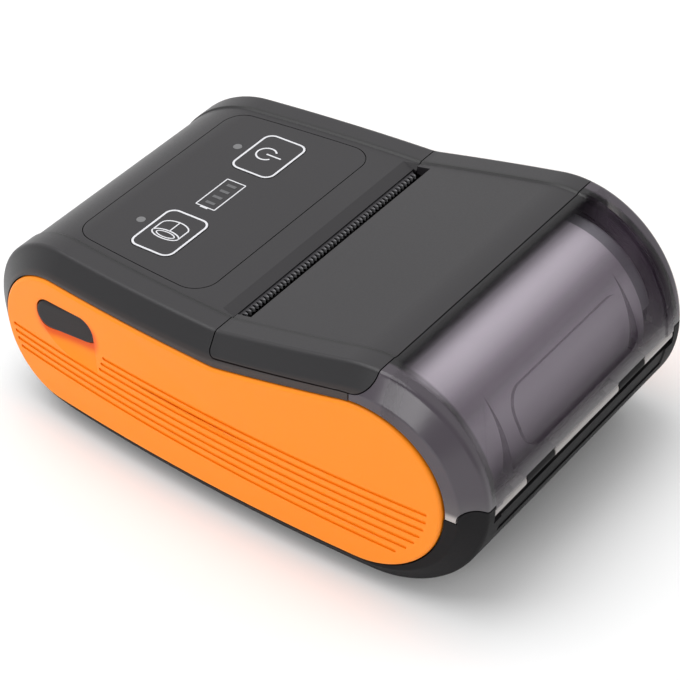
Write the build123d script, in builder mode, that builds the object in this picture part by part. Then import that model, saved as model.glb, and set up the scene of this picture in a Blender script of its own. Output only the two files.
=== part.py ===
"""Portable receipt printer for 58 mm paper, in millimetres.

X runs across the paper, Y from the rounded nose to the roll end, Z up from the surface it rests on.
The origin is the middle of the footprint, level with the soles of the rubber feet.
The release button is on the +X side.
"""

import os
from math import asin, atan2, cos, degrees, hypot, pi, radians, sin, sqrt, tan

from build123d import *

# Fits
running_fit = 0.05
clearance = 0.3
seam_gap = 0.25

# Paper roll and the bin it drops into
paper_width = 57.5
roll_radius = 19.6
core_radius = 7.6
core_bore_radius = 5.6
roll_play = 1.2
bin_wall = 1.2
bin_gap = 0.2
bin_side_play = 0.4
bin_front_rise = 4.8
bin_back_drop = 5.2

# Case: side view
body_length = 119.7
foot_height = 0.8
nose_radius = 19.9
wall = 2.2
top_rise = 1.8
bend_blend = 14.0
mechanism_room = 11.05
shell_seam_drop = 2.7
cover_tail_shift = 3.4
window_seam_shift = 1.2
lid_front_corner = 1.2
lid_rear_corner = 5.0

# Case: plan view and edges
side_wall = 4.7
cavity_room = 0.75
crown_radius = 480.0
crown_y = 15.0
bevel_reach = 3.0
bevel_drop = 4.2
side_edge_radius = 0.8
bevel_edge_radius = 1.2
rail_margin = 1.5
recess_depth = 0.3
recess_slope = 0.5

# Coloured side panels
panel_nose_shift = 0.8
panel_nose_margin = 5.3
panel_tail_shift = 1.5
panel_tail_margin = 6.0
panel_base_rise = 4.7
panel_rise = 1.0
panel_bend_shift = 1.2
panel_seat_depth = 1.9
panel_proud = 0.5
panel_gap = 0.3
panel_edge_radius = 0.7
rim_strip = 1.9
groove_count = 7
groove_pitch = 1.65
groove_tail_pitch = 2.0
groove_width = 0.8
groove_depth = 0.35
groove_nose_margin = 2.3
groove_tail_margin = 3.3
top_groove_rise = 3.5
short_groove_count = 3
short_groove_start = 10.6
short_groove_step = 0.6

# Release button in its dished recess, and the slider behind it
button_shift = 2.35
button_rise = 6.7
button_length = 15.6
button_height = 6.6
button_tilt = 4.0
button_gap = 0.25
button_inset = 0.4
button_flange = 0.8
button_flange_thickness = 1.2
button_edge_radius = 0.8
scoop_half_length = 12.0
scoop_half_height = 6.5
scoop_depth = 1.5
scoop_shift = 1.2
scoop_drop = 1.2
slider_drop = 2.3
slider_height = 3.0
slider_thickness = 1.0
slider_jog = 1.95
slider_gap = 0.6
slider_finger = 3.0
slider_bend_room = 4.5

# Slot and tear bar
slot_end_room = 1.15
slot_width = 3.0
slot_setback = 0.9
slot_edge_setback = 1.05
slot_slope_length = 3.5
slot_ramp = 1.4
slot_ramp_taper = 48.0
tooth_pitch = 1.1
tooth_depth = 1.15
tooth_margin = 0.8
tear_bar_thickness = 0.8
tear_bar_drop = 1.57
tear_bar_depth = 7.0
tear_bar_reach = 0.55
cutter_margin = 0.25

# Platen and its bracket
platen_setback = 5.2
platen_drop = 5.0
platen_radius = 4.2
platen_short = 0.1
shaft_radius = 1.5
shaft_overhang = 1.15
bearing_radius = 3.2
bearing_width = 1.5
bracket_room = 0.4
bracket_thickness = 1.2
bracket_boss_radius = 3.0
bracket_front = 1.8
bracket_back = 16.8
bracket_strip = 11.0

# Frame of the print mechanism
frame_room = 0.6
frame_plate = 1.2
frame_front = 17.2
frame_back = 4.8
frame_top_drop = 1.6
frame_corner = 3.0
frame_lift = 0.75
notch_flare = 3.6
beam_setback = 2.6
foot_tab_thickness = 1.2
foot_tab_width = 4.9
foot_tab_depth = 4.0
frame_post_radius = 2.0

# Thermal head
head_short = 1.4
head_height = 8.0
head_gap = 0.3
head_thickness = 1.2
head_pivot_rise = 1.0
head_pivot_radius = 1.0
heat_sink_thickness = 2.5
heat_sink_lip = 0.6
head_spring_x = 18.0
head_spring_drop = 3.6
head_spring_radius = 1.8
head_spring_bore = 1.3

# Gear train and motor
module = 0.4
platen_teeth = 22
idler_teeth = 32
pinion_teeth = 11
idler_bearing = 237.5
pinion_bearing = 205.0
tip_height = 0.9
root_depth = 1.15
root_share = 0.29
tip_share = 0.11
gear_width = 1.7
idler_pin_radius = 0.8
motor_radius = 6.4
motor_length = 18.0
motor_shaft_radius = 0.75
motor_shaft_depth = 4.9
motor_boss_radius = 2.0
motor_room = 2.4

# Lid hinge
hinge_inset = 1.9
hinge_drop = 0.9
side_seam_drop = 0.35
barrel_radius = 1.75
barrel_relief = 2.2
corner_relief = 2.9
hinge_pin_radius = 0.75
pin_inner_x = 8.5
pin_outer_x = 24.5
ear_inner_x = 11.4
ear_outer_x = 21.4
ear_play = 0.35
ear_web = 0.6
lip_margin = 3.0
lip_lift = 1.0

# Finger dish and ribs of the clear cover
dish_half_width = 20.5
dish_low_angle = 11.8
dish_high_angle = 41.0
dish_corner = 5.0
dish_depth = 0.7
rib_thickness = 1.0
rib_spacing = 1.2
rib_inset = 0.6
rib_shift = 2.0
rib_rise = 2.4

# Control panel
overlay_front_reach = 3.55
overlay_back_room = 9.6
overlay_margin = 1.8
overlay_thickness = 0.6
overlay_gap = 0.2
overlay_corner = 5.0
key_x = 16.2
key_spacing = 7.7
key_width = 14.3
key_depth = 10.5
key_corner = 2.3
key_gap = 0.1
key_travel = 0.5
key_proud = 0.05
key_flange = 0.8
lamp_x = 15.7
lamp_setback = 4.95
lamp_radius = 0.95

# Main board and key switches
board_thickness = 1.6
board_drop = 8.0
board_edge = 2.5
board_boss_inset = 6.8
board_boss_radius = 1.6
board_front_reach = 6.05
board_back_room = 5.5
switch_size = 6.0
switch_corner = 0.6
switch_height = 2.5
switch_plunger_lift = 0.7

# Battery pack and its hatch
battery_gap = 0.4
battery_room = 0.5
battery_front_reach = 3.55
battery_corner = 2.0
battery_edge = 0.8
hatch_inset = 1.5
hatch_margin = 2.0
hatch_corner = 2.5

# Charging socket
socket_rise = 8.8
socket_width = 9.0
socket_height = 3.3
socket_depth = 7.2
socket_inset = 0.6
socket_skin = 0.35
socket_tongue = 6.0
socket_port_depth = 4.5
socket_board_thickness = 1.25
socket_board_depth = 12.2
socket_board_width = 4.6
socket_post_inset = 6.4
socket_post_radius = 1.6
socket_post_spread = 4.5

# Case screws and rubber feet
screw_inset = 8.7
front_screw_reach = 9.05
rear_screw_room = 6.0
screw_post_radius = 2.4
screw_radius = 1.0
screw_bite = 9.0
screw_head_radius = 1.9
screw_head_height = 1.6
screw_head_rise = 6.2
foot_radius = 4.0
foot_recess = 0.5
foot_edge = 0.25
front_sole_inset = 6.0
front_sole_shift = 6.95
rear_sole_inset = 8.0
rear_sole_shift = 6.55

# Paper path: the tail of the case wraps the bin, which wraps the roll
bin_inner_radius = roll_radius + roll_play
bin_outer_radius = bin_inner_radius + bin_wall
tail_radius = bin_outer_radius + bin_gap + wall
nose = (-body_length / 2 + nose_radius, foot_height + nose_radius)
tail = (body_length / 2 - tail_radius, foot_height + tail_radius)
roll_centre = (tail[0], tail[1] - (roll_play - clearance))

# Seams and hinge along the case
lid_seam_y = tail[0] - tail_radius - mechanism_room
cover_tail_y = tail[0] - cover_tail_shift
window_seam_y = tail[0] + window_seam_shift
shell_seam_z = nose[1] - shell_seam_drop
hinge_y = body_length / 2 - hinge_inset
hinge_z = tail[1] - hinge_drop
side_seam_z = hinge_z - side_seam_drop

# Widths, from the paper outwards to the case
platen_length = paper_width - platen_short
bracket_inner_x = platen_length / 2 + bracket_room
bracket_outer_x = bracket_inner_x + bracket_thickness
plate_inner_x = bracket_outer_x + frame_room
plate_outer_x = plate_inner_x + frame_plate
bearing_x = (plate_inner_x + plate_outer_x) / 2
bearing_outer_x = bearing_x + bearing_width / 2
gear_inner_x = -bearing_outer_x - clearance
gear_outer_x = gear_inner_x - gear_width
cavity_half_width = cavity_room - gear_outer_x
side_half_width = cavity_half_width + side_wall
slot_half_length = paper_width / 2 + slot_end_room
rail_inner_half_width = slot_half_length + rail_margin
overlay_half_width = rail_inner_half_width - overlay_margin
lip_half_width = cavity_half_width - lip_margin

# Reach of plain cuts, well outside the case
far = body_length
plan_reach = 0.75 * body_length


def crown_half_width(half_width, y):
    """Half width of the crowned plan at a place along the body."""
    return half_width - crown_radius + sqrt(crown_radius**2 - (y - crown_y) ** 2)


def top_height(y, grow=0.0):
    """Height of the straight front top line, moved out or in."""
    slope = radians(top_rise)
    return nose[1] + (nose_radius + grow) / cos(slope) + tan(slope) * (y - nose[0])


# Tear bar, platen and frame, down from the top line
tear_bar_top = top_height(lid_seam_y) - tear_bar_drop
tear_bar_z = tear_bar_top - tear_bar_thickness
tear_bar_back_y = lid_seam_y - tear_bar_depth
tooth_count = round((paper_width + tooth_margin) / tooth_pitch)
tear_bar_half = tooth_count * tooth_pitch / 2 + cutter_margin
tear_bar_seat = tear_bar_half + clearance
platen_y = lid_seam_y + platen_setback
platen_z = tear_bar_z - platen_drop
frame_front_y = platen_y - frame_front
frame_back_y = platen_y + frame_back
frame_top_z = tear_bar_z - frame_top_drop
beam_y = frame_front_y + beam_setback
head_top_z = frame_top_z - clearance
head_front_y = platen_y - platen_radius - head_gap
heat_sink_front_y = head_front_y - head_thickness
heat_sink_back_y = heat_sink_front_y - heat_sink_thickness
head_pivot_y = (heat_sink_front_y + heat_sink_back_y) / 2
head_pivot_z = head_top_z - head_height + head_pivot_rise
head_width = platen_length - head_short

# Gear centres follow from the platen and the tooth counts
platen_pitch_radius = module * platen_teeth / 2
idler_pitch_radius = module * idler_teeth / 2
pinion_pitch_radius = module * pinion_teeth / 2
idler_y = platen_y + (platen_pitch_radius + idler_pitch_radius) * cos(radians(idler_bearing))
idler_z = platen_z + (platen_pitch_radius + idler_pitch_radius) * sin(radians(idler_bearing))
motor_y = idler_y + (idler_pitch_radius + pinion_pitch_radius) * cos(radians(pinion_bearing))
motor_z = idler_z + (idler_pitch_radius + pinion_pitch_radius) * sin(radians(pinion_bearing))
idler_phase = idler_bearing + 180 + 180 / idler_teeth
idler_lead = idler_phase - pinion_bearing
pinion_phase = pinion_bearing + 180 - idler_lead * idler_teeth / pinion_teeth + 180 / pinion_teeth

# Coloured panels and the button in the right one
panel_nose_radius = nose_radius - panel_nose_margin
panel_tail_radius = tail_radius - panel_tail_margin
panel_nose = (nose[0] - panel_nose_shift, foot_height + panel_base_rise + panel_nose_radius)
panel_tail = (tail[0] - panel_tail_shift, foot_height + panel_base_rise + panel_tail_radius)
top_groove_z = panel_nose[1] + top_groove_rise
button_y = nose[0] + button_shift
button_z = panel_nose[1] + button_rise
button_reach = button_length / 2 + button_flange
button_face_x = crown_half_width(side_half_width + panel_proud, button_y)
button_floor_x = (
    crown_half_width(cavity_half_width, button_y - button_reach) - clearance - button_flange_thickness
)

# Screws, board and battery lie between the nose and the print mechanism
screw_x = cavity_half_width - screw_inset
front_screw_y = nose[0] - front_screw_reach
rear_screw_y = frame_front_y - rear_screw_room
board_z = top_height(nose[0]) - board_drop
board_top_z = board_z + board_thickness
board_boss_x = screw_x - board_boss_inset
board_boss_front_y = nose[0] - board_front_reach
board_boss_rear_y = frame_front_y - board_back_room
battery_half_width = screw_x - screw_post_radius - battery_gap
battery_front_y = nose[0] - battery_front_reach
battery_back_y = frame_front_y - battery_room
battery_floor_z = foot_height + wall + battery_gap
battery_top_z = motor_z - motor_radius - motor_room
frame_base_z = battery_top_z + frame_lift
socket_y = (front_screw_y + rear_screw_y) / 2
socket_z = foot_height + socket_rise
socket_board_top_z = socket_z - socket_height / 2
socket_board_z = socket_board_top_z - socket_board_thickness
socket_post_x = socket_post_inset - cavity_half_width
screw_head_seat_z = foot_height + screw_head_rise

# Control overlay with its lamps and keys
overlay_front_y = nose[0] - overlay_front_reach
overlay_back_y = lid_seam_y - overlay_back_room
overlay_top = -recess_depth
overlay_floor = overlay_top - overlay_thickness
lamp_y = nose[0] + lamp_setback
key_y = lamp_y + key_spacing
key_base_z = board_top_z + switch_height + clearance + key_travel

# Places of what is repeated
lamp_places = [(-lamp_x, lamp_y), (lamp_x, lamp_y)]
key_places = [(-key_x, key_y), (key_x, key_y)]
screw_places = [(side * screw_x, y) for side in (-1, 1) for y in (front_screw_y, rear_screw_y)]
frame_foot_x = plate_inner_x - foot_tab_width / 2
frame_foot_ys = (frame_front_y + foot_tab_depth / 2, frame_back_y - foot_tab_depth / 2)
frame_foot_places = [(side * frame_foot_x, y) for side in (-1, 1) for y in frame_foot_ys]
boss_places = [
    (side * board_boss_x, y) for side in (-1, 1) for y in (board_boss_front_y, board_boss_rear_y)
]
socket_post_places = [(socket_post_x, socket_y + side * socket_post_spread) for side in (-1, 1)]
front_sole = (cavity_half_width - front_sole_inset, nose[0] + front_sole_shift)
rear_sole = (cavity_half_width - rear_sole_inset, tail[0] + rear_sole_shift)
sole_places = [(side * x, y) for side in (-1, 1) for x, y in (front_sole, rear_sole)]


def bend_height(nose_centre, radius, rise, bend_y):
    """Height at which the front top line reaches the bend."""
    slope = radians(rise)
    return nose_centre[1] + radius / cos(slope) + tan(slope) * (bend_y - nose_centre[0])


def bent_capsule(nose_centre, nose_r, tail_centre, tail_r, rise, bend_y, grow=0.0):
    """Side outline: two round ends, a level base, and a top line that bends up towards the tail."""
    bend_z = bend_height(nose_centre, nose_r, rise, bend_y)
    across = tail_centre[0] - bend_y
    down = tail_centre[1] - bend_z
    lift = atan2(down, across) + asin(tail_r / hypot(across, down))
    slope = radians(rise)
    front_normal = (-sin(slope), cos(slope))
    lid_normal = (-sin(lift), cos(lift))
    spread = front_normal[0] * lid_normal[1] - front_normal[1] * lid_normal[0]
    corner_y = bend_y + grow * (lid_normal[1] - front_normal[1]) / spread
    corner_z = bend_z + grow * (front_normal[0] - lid_normal[0]) / spread
    front_r = nose_r + grow
    back_r = tail_r + grow
    nose_top = (nose_centre[0] + front_r * front_normal[0], nose_centre[1] + front_r * front_normal[1])
    tail_top = (tail_centre[0] + back_r * lid_normal[0], tail_centre[1] + back_r * lid_normal[1])
    nose_base = (nose_centre[0], nose_centre[1] - front_r)
    tail_base = (tail_centre[0], tail_centre[1] - back_r)
    with BuildSketch() as outline:
        with BuildLine():
            Line(nose_base, tail_base)
            ThreePointArc(tail_base, (tail_centre[0] + back_r, tail_centre[1]), tail_top)
            Line(tail_top, (corner_y, corner_z))
            Line((corner_y, corner_z), nose_top)
            ThreePointArc(nose_top, (nose_centre[0] - front_r, nose_centre[1]), nose_base)
        make_face()
        fillet(outline.vertices().sort_by_distance((corner_y, corner_z, 0))[0], bend_blend)
    return outline.sketch


def body_outline(grow=0.0):
    """Side view of the case, grown or shrunk evenly."""
    return bent_capsule(nose, nose_radius, tail, tail_radius, top_rise, lid_seam_y, grow)


def panel_outline(grow=0.0):
    """Side view of the coloured panel, grown or shrunk evenly."""
    bend_y = lid_seam_y + panel_bend_shift
    return bent_capsule(
        panel_nose, panel_nose_radius, panel_tail, panel_tail_radius, panel_rise, bend_y, grow
    )


def crowned_band(half_width, front=-plan_reach, back=plan_reach):
    """Plan of the body between two gently bowed sides."""
    front_x = crown_half_width(half_width, front)
    back_x = crown_half_width(half_width, back)
    middle = (front + back) / 2
    middle_x = crown_half_width(half_width, middle)
    with BuildSketch() as band:
        with BuildLine():
            ThreePointArc((front_x, front), (middle_x, middle), (back_x, back))
            Line((back_x, back), (-back_x, back))
            ThreePointArc((-back_x, back), (-middle_x, middle), (-front_x, front))
            Line((-front_x, front), (front_x, front))
        make_face()
    return band.sketch


def box_between(low, high, mode=Mode.ADD):
    """A block given by its lowest and highest corners."""
    centre = [(a + b) / 2 for a, b in zip(low, high)]
    with Locations(tuple(centre)):
        Box(high[0] - low[0], high[1] - low[1], high[2] - low[2], mode=mode)


def rod_along_x(radius, start, end, y, z, mode=Mode.ADD):
    """A round bar along X between two places."""
    with Locations(Location(((start + end) / 2, y, z), (0, 90, 0))):
        Cylinder(radius, end - start, mode=mode)


def save(builder, name):
    """Label a finished piece and write it under its own name."""
    builder.part.label = name
    export_step(builder.part, f"parts/{name}.step")


os.makedirs("parts", exist_ok=True)

# Outer form: crowned in plan, round at both ends, with a long bevel to each side
with BuildPart() as body_form:
    with BuildSketch(Plane.YZ):
        add(body_outline())
    extrude(amount=far / 2, both=True)
    with BuildSketch(Plane.XY):
        add(crowned_band(side_half_width))
    extrude(amount=far, mode=Mode.INTERSECT)
    for pick in (0, -1):
        side = body_form.faces().sort_by(Axis.X)[pick]
        chamfer(side.edges(), length=bevel_drop, length2=bevel_reach, reference=side)
    for pick in (0, -1):
        fillet(body_form.faces().sort_by(Axis.X)[pick].edges(), side_edge_radius)
    band = body_form.faces().filter_by(lambda face: abs(face.normal_at().X) < running_fit)
    fillet(band.edges() - body_form.edges().filter_by(Axis.X), bevel_edge_radius)

# Hollow, side pockets and the shallow band between the rails
with BuildPart() as inner_form:
    with BuildSketch(Plane.YZ):
        add(body_outline(-wall))
    extrude(amount=far / 2, both=True)
    with BuildSketch(Plane.XY):
        add(crowned_band(cavity_half_width))
    extrude(amount=far, mode=Mode.INTERSECT)

with BuildPart() as pocket_form:
    with BuildSketch(Plane.YZ):
        add(panel_outline(panel_gap))
    extrude(amount=far / 2, both=True)
    with BuildSketch(Plane.XY):
        add(crowned_band(side_half_width - panel_seat_depth))
    extrude(amount=far, mode=Mode.SUBTRACT)

with BuildPart() as top_recess:
    with BuildSketch(Plane.YZ):
        with Locations((0, shell_seam_z + far / 2)):
            Rectangle(2 * far, far)
        add(body_outline(-recess_depth), mode=Mode.SUBTRACT)
    extrude(amount=far / 2, both=True)
    with BuildSketch(Plane.XY):
        add(crowned_band(rail_inner_half_width + recess_slope))
    extrude(amount=far, mode=Mode.INTERSECT)
    for pick in (0, -1):
        side = top_recess.faces().sort_by(Axis.X)[pick]
        floor_edges = side.edges().filter_by_position(Axis.Y, -body_length / 2, body_length / 2)
        floor_edges = floor_edges.filter_by_position(Axis.Z, shell_seam_z, tail[1] + tail_radius)
        chamfer(floor_edges, length=recess_depth + running_fit, length2=recess_slope, reference=side)

with BuildPart() as case_form:
    add(body_form.part)
    add(inner_form.part, mode=Mode.SUBTRACT)
    add(pocket_form.part, mode=Mode.SUBTRACT)
    add(top_recess.part, mode=Mode.SUBTRACT)


def lid_region(grow=0.0):
    """Side view of the solid lid plate, with its rounded lower corners."""
    front = lid_seam_y - grow
    back = window_seam_y + grow
    with BuildSketch() as region:
        with Locations(((front + back) / 2, shell_seam_z + far / 2)):
            Rectangle(back - front, far)
        add(panel_outline(panel_gap + rim_strip - grow), mode=Mode.SUBTRACT)
        lower_front = region.vertices().group_by(Axis.X)[0].sort_by(Axis.Y)[0]
        fillet(lower_front, lid_front_corner + grow)
        lower_rear = region.vertices().group_by(Axis.X)[-1].sort_by(Axis.Y)[0]
        fillet(lower_rear, lid_rear_corner + grow)
    return region.sketch


def window_region():
    """Side view of the clear rear cover, down to the side seam."""
    front = cover_tail_y + seam_gap
    with BuildSketch() as region:
        with Locations((front + far / 2, side_seam_z + far / 2)):
            Rectangle(far, far)
        add(panel_outline(panel_gap + seam_gap), mode=Mode.SUBTRACT)
        add(lid_region(seam_gap), mode=Mode.SUBTRACT)
    return region.sketch


def front_region():
    """Side view of the front cover, with the strip that runs back under the lid plate."""
    with BuildSketch() as region:
        with Locations((cover_tail_y - far / 2, shell_seam_z + far / 2)):
            Rectangle(far, far)
        add(lid_region(seam_gap), mode=Mode.SUBTRACT)
    return region.sketch


def lower_region():
    """Side view of the lower shell, with its tail raised behind the coloured panels."""
    front_top = shell_seam_z - seam_gap
    tail_front = cover_tail_y + seam_gap
    with BuildSketch() as region:
        with Locations((tail_front + far / 2, side_seam_z - seam_gap - far / 2)):
            Rectangle(far, far)
        add(panel_outline(panel_gap))
        with Locations((hinge_y, hinge_z)):
            Circle(corner_relief - clearance)
        with Locations((tail_front - far / 2, front_top + far / 2)):
            Rectangle(far, far, mode=Mode.SUBTRACT)
        with Locations((tail_front - far / 2, front_top - far / 2)):
            Rectangle(far, far)
    return region.sketch


def case_piece(region):
    """The part of the hollow case that lies inside a side-view region."""
    with BuildPart() as piece:
        with BuildSketch(Plane.YZ):
            add(region)
        extrude(amount=far / 2, both=True)
        add(case_form.part, mode=Mode.INTERSECT)
    return piece.part


# Plan of the control overlay, and its seat in the front cover
with BuildSketch() as overlay_plan:
    add(crowned_band(overlay_half_width, overlay_front_y, overlay_back_y))
    fillet(overlay_plan.vertices(), overlay_corner)

with BuildPart() as overlay_seat:
    with BuildSketch(Plane.XY.offset(shell_seam_z)):
        add(overlay_plan.sketch)
        offset(amount=overlay_gap)
    extrude(amount=far)
    with BuildSketch(Plane.YZ):
        add(body_outline(overlay_thickness))
        add(body_outline(overlay_floor), mode=Mode.SUBTRACT)
    extrude(amount=far / 2, both=True, mode=Mode.INTERSECT)

# Posts that hang from the ceiling of the front cover
with BuildPart() as cover_posts:
    with BuildSketch(Plane.XY.offset(shell_seam_z)):
        with Locations(*screw_places):
            Circle(screw_post_radius)
    extrude(amount=far)
    with BuildSketch(Plane.XY.offset(board_top_z)):
        with Locations(*boss_places):
            Circle(board_boss_radius)
    extrude(amount=far)
    with BuildSketch(Plane.YZ):
        add(body_outline((overlay_floor - wall) / 2))
    extrude(amount=far / 2, both=True, mode=Mode.INTERSECT)
    with BuildSketch(Plane.XY.offset(shell_seam_z)):
        with Locations(*screw_places):
            Circle(screw_radius)
    extrude(amount=screw_bite, mode=Mode.SUBTRACT)

# Hole for the release button, square to the side and tilted along the top line
button_slope = radians(button_tilt)
button_plane = Plane(
    origin=(0, button_y, button_z),
    x_dir=(0, cos(button_slope), sin(button_slope)),
    z_dir=(1, 0, 0),
)
with BuildPart() as button_hole:
    with BuildSketch(button_plane):
        SlotOverall(button_length + 2 * button_gap, button_height + 2 * button_gap)
    extrude(amount=far / 2)

# Slope that leads from the overlay down to the tear bar, with a ramp at each end
slope_start_y = lid_seam_y - slot_slope_length
slope_corners = [
    (slope_start_y, top_height(slope_start_y, overlay_top)),
    (lid_seam_y, tear_bar_top + running_fit),
]
slope_fall = (slope_corners[1][1] - slope_corners[0][1]) / slot_slope_length
slope_ahead = (slope_start_y - far / 4, slope_corners[0][1] - slope_fall * far / 4)
slope_beyond = (lid_seam_y + far / 4, slope_corners[1][1] + slope_fall * far / 4)
with BuildSketch(Plane.YZ.offset(slot_half_length)) as slope_side:
    with BuildLine():
        Polyline(slope_ahead, slope_beyond, (slope_beyond[0], far), (slope_ahead[0], far), close=True)
    make_face()
with BuildPart() as slot_slope:
    extrude(slope_side.sketch, amount=-slot_half_length)
    extrude(slope_side.sketch, amount=slot_ramp, taper=slot_ramp_taper)
    mirror(about=Plane.YZ)

# Front cover
with BuildPart() as front_cover:
    add(case_piece(front_region()))
    add(overlay_seat.part, mode=Mode.SUBTRACT)
    add(button_hole.part, mode=Mode.SUBTRACT)
    add(slot_slope.part, mode=Mode.SUBTRACT)
    with BuildSketch(Plane.XY.offset(shell_seam_z)):
        with Locations(*key_places):
            RectangleRounded(key_width + 2 * key_gap, key_depth + 2 * key_gap, key_corner + key_gap)
        with Locations(*lamp_places):
            Circle(lamp_radius + running_fit)
    extrude(amount=far, mode=Mode.SUBTRACT)
    box_between(
        (-slot_half_length, lid_seam_y - slot_setback, shell_seam_z),
        (slot_half_length, lid_seam_y, far),
        mode=Mode.SUBTRACT,
    )
    box_between(
        (-tear_bar_seat, tear_bar_back_y - clearance, shell_seam_z),
        (tear_bar_seat, lid_seam_y, tear_bar_top),
        mode=Mode.SUBTRACT,
    )
    add(cover_posts.part)
save(front_cover, "front_cover")

# Posts on the floor: under the print mechanism, round the case screws, under the charging board
with BuildPart() as shell_posts:
    with BuildSketch(Plane.XY):
        with Locations(*frame_foot_places):
            Circle(frame_post_radius)
    extrude(amount=frame_base_z)
    with BuildSketch(Plane.XY):
        with Locations(*screw_places):
            Circle(screw_post_radius)
    extrude(amount=shell_seam_z - seam_gap)
    with BuildSketch(Plane.XY):
        with Locations(*socket_post_places):
            Circle(socket_post_radius)
    extrude(amount=socket_board_z)
    with BuildSketch(Plane.YZ):
        add(body_outline(-wall / 2))
    extrude(amount=far / 2, both=True, mode=Mode.INTERSECT)

# Charging port through the left side
with BuildPart() as port_hole:
    with BuildSketch(Plane.YZ.offset(-far)):
        with Locations((socket_y, socket_z)):
            SlotOverall(socket_width + 2 * seam_gap, socket_height + 2 * seam_gap)
    extrude(amount=far - cavity_half_width + socket_port_depth)

# Lower shell
with BuildPart() as lower_shell:
    add(case_piece(lower_region()))
    # Back wall drops below the hinge barrels, between the two raised corners
    box_between(
        (-lip_half_width - clearance, hinge_y - 2 * corner_relief, hinge_z - barrel_relief),
        (lip_half_width + clearance, far, far),
        mode=Mode.SUBTRACT,
    )
    for side in (-1, 1):
        inner, outer = sorted((side * (ear_inner_x + ear_play), side * (ear_outer_x - ear_play)))
        rod_along_x(barrel_radius, inner, outer, hinge_y, hinge_z)
        box_between(
            (inner, hinge_y - barrel_radius, hinge_z - 2 * barrel_radius),
            (outer, hinge_y + ear_web, hinge_z),
        )
        pin_start, pin_end = sorted((side * pin_inner_x, side * pin_outer_x))
        rod_along_x(hinge_pin_radius, pin_start, pin_end, hinge_y, hinge_z, mode=Mode.SUBTRACT)
    add(shell_posts.part)
    with BuildSketch(Plane.XY):
        with Locations(*screw_places):
            Circle(screw_radius + clearance)
    extrude(amount=shell_seam_z, mode=Mode.SUBTRACT)
    with BuildSketch(Plane.XY):
        with Locations(*screw_places):
            Circle(screw_head_radius + clearance)
    extrude(amount=screw_head_seat_z, mode=Mode.SUBTRACT)
    # Hatch opening, sole recesses and the charging port
    with BuildSketch(Plane.XY):
        with Locations((0, (battery_front_y + battery_back_y) / 2)):
            RectangleRounded(
                2 * (battery_half_width - hatch_margin + seam_gap),
                battery_back_y - battery_front_y - 2 * (hatch_inset - seam_gap),
                hatch_corner + seam_gap,
            )
    extrude(amount=foot_height + 2 * wall, mode=Mode.SUBTRACT)
    with BuildSketch(Plane.XY):
        with Locations(*sole_places):
            Circle(foot_radius + running_fit)
    extrude(amount=foot_height + foot_recess, mode=Mode.SUBTRACT)
    add(port_hole.part, mode=Mode.SUBTRACT)
save(lower_shell, "lower_shell")

# Battery hatch
with BuildPart() as battery_cover:
    with BuildSketch(Plane.XY):
        with Locations((0, (battery_front_y + battery_back_y) / 2)):
            RectangleRounded(
                2 * (battery_half_width - hatch_margin),
                battery_back_y - battery_front_y - 2 * hatch_inset,
                hatch_corner,
            )
    extrude(amount=foot_height + 2 * wall)
    add(case_form.part, mode=Mode.INTERSECT)
save(battery_cover, "battery_cover")

# Lid plate
with BuildPart() as lid_plate:
    add(case_piece(lid_region()))
    box_between(
        (-slot_half_length, lid_seam_y - far, shell_seam_z),
        (slot_half_length, lid_seam_y - slot_setback + slot_width + slot_edge_setback, far),
        mode=Mode.SUBTRACT,
    )
save(lid_plate, "lid_plate")

# Finger dish in the clear cover
dish_angle = radians((dish_low_angle + dish_high_angle) / 2)
dish_plane = Plane(
    origin=(
        0,
        tail[0] + (tail_radius + wall) * cos(dish_angle),
        tail[1] + (tail_radius + wall) * sin(dish_angle),
    ),
    x_dir=(-1, 0, 0),
    z_dir=(0, cos(dish_angle), sin(dish_angle)),
)
dish_height = 2 * tail_radius * sin(radians(dish_high_angle - dish_low_angle) / 2)
with BuildPart() as finger_dish:
    with BuildSketch(dish_plane):
        RectangleRounded(2 * dish_half_width, dish_height, dish_corner)
    extrude(amount=-3 * wall)
    with BuildSketch(Plane.YZ):
        add(body_outline(wall))
        add(body_outline(overlay_top - dish_depth), mode=Mode.SUBTRACT)
    extrude(amount=far / 2, both=True, mode=Mode.INTERSECT)

# Crescent ribs that stiffen the clear cover above its hinge
with BuildPart() as cover_ribs:
    for centre in (ear_outer_x + rib_spacing, lip_half_width - rib_inset):
        for side in (-1, 1):
            with BuildSketch(Plane.YZ.offset(side * centre)):
                add(body_outline(-wall / 2))
                with Locations((tail[0] - rib_shift, tail[1] + rib_rise)):
                    Circle(bin_outer_radius, mode=Mode.SUBTRACT)
                with Locations((tail[0] + far / 2, hinge_z + lip_lift + far / 2)):
                    Rectangle(far, far, mode=Mode.INTERSECT)
            extrude(amount=rib_thickness / 2, both=True)

# Clear rear cover with its hinge barrels
with BuildPart() as window_cover:
    add(case_piece(window_region()))
    add(finger_dish.part, mode=Mode.SUBTRACT)
    add(cover_ribs.part)
    box_between(
        (-lip_half_width, hinge_y - 2 * corner_relief, 0),
        (lip_half_width, far, hinge_z + lip_lift),
        mode=Mode.SUBTRACT,
    )
    rod_along_x(corner_relief, lip_half_width, far, hinge_y, hinge_z, mode=Mode.SUBTRACT)
    rod_along_x(corner_relief, -far, -lip_half_width, hinge_y, hinge_z, mode=Mode.SUBTRACT)
    rod_along_x(barrel_radius, -lip_half_width, lip_half_width, hinge_y, hinge_z)
    for side in (-1, 1):
        inner, outer = sorted((side * ear_inner_x, side * ear_outer_x))
        rod_along_x(barrel_relief, inner, outer, hinge_y, hinge_z, mode=Mode.SUBTRACT)
        pin_start, pin_end = sorted((side * pin_inner_x, side * pin_outer_x))
        rod_along_x(
            hinge_pin_radius + running_fit, pin_start, pin_end, hinge_y, hinge_z, mode=Mode.SUBTRACT
        )
save(window_cover, "window_cover")

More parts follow.
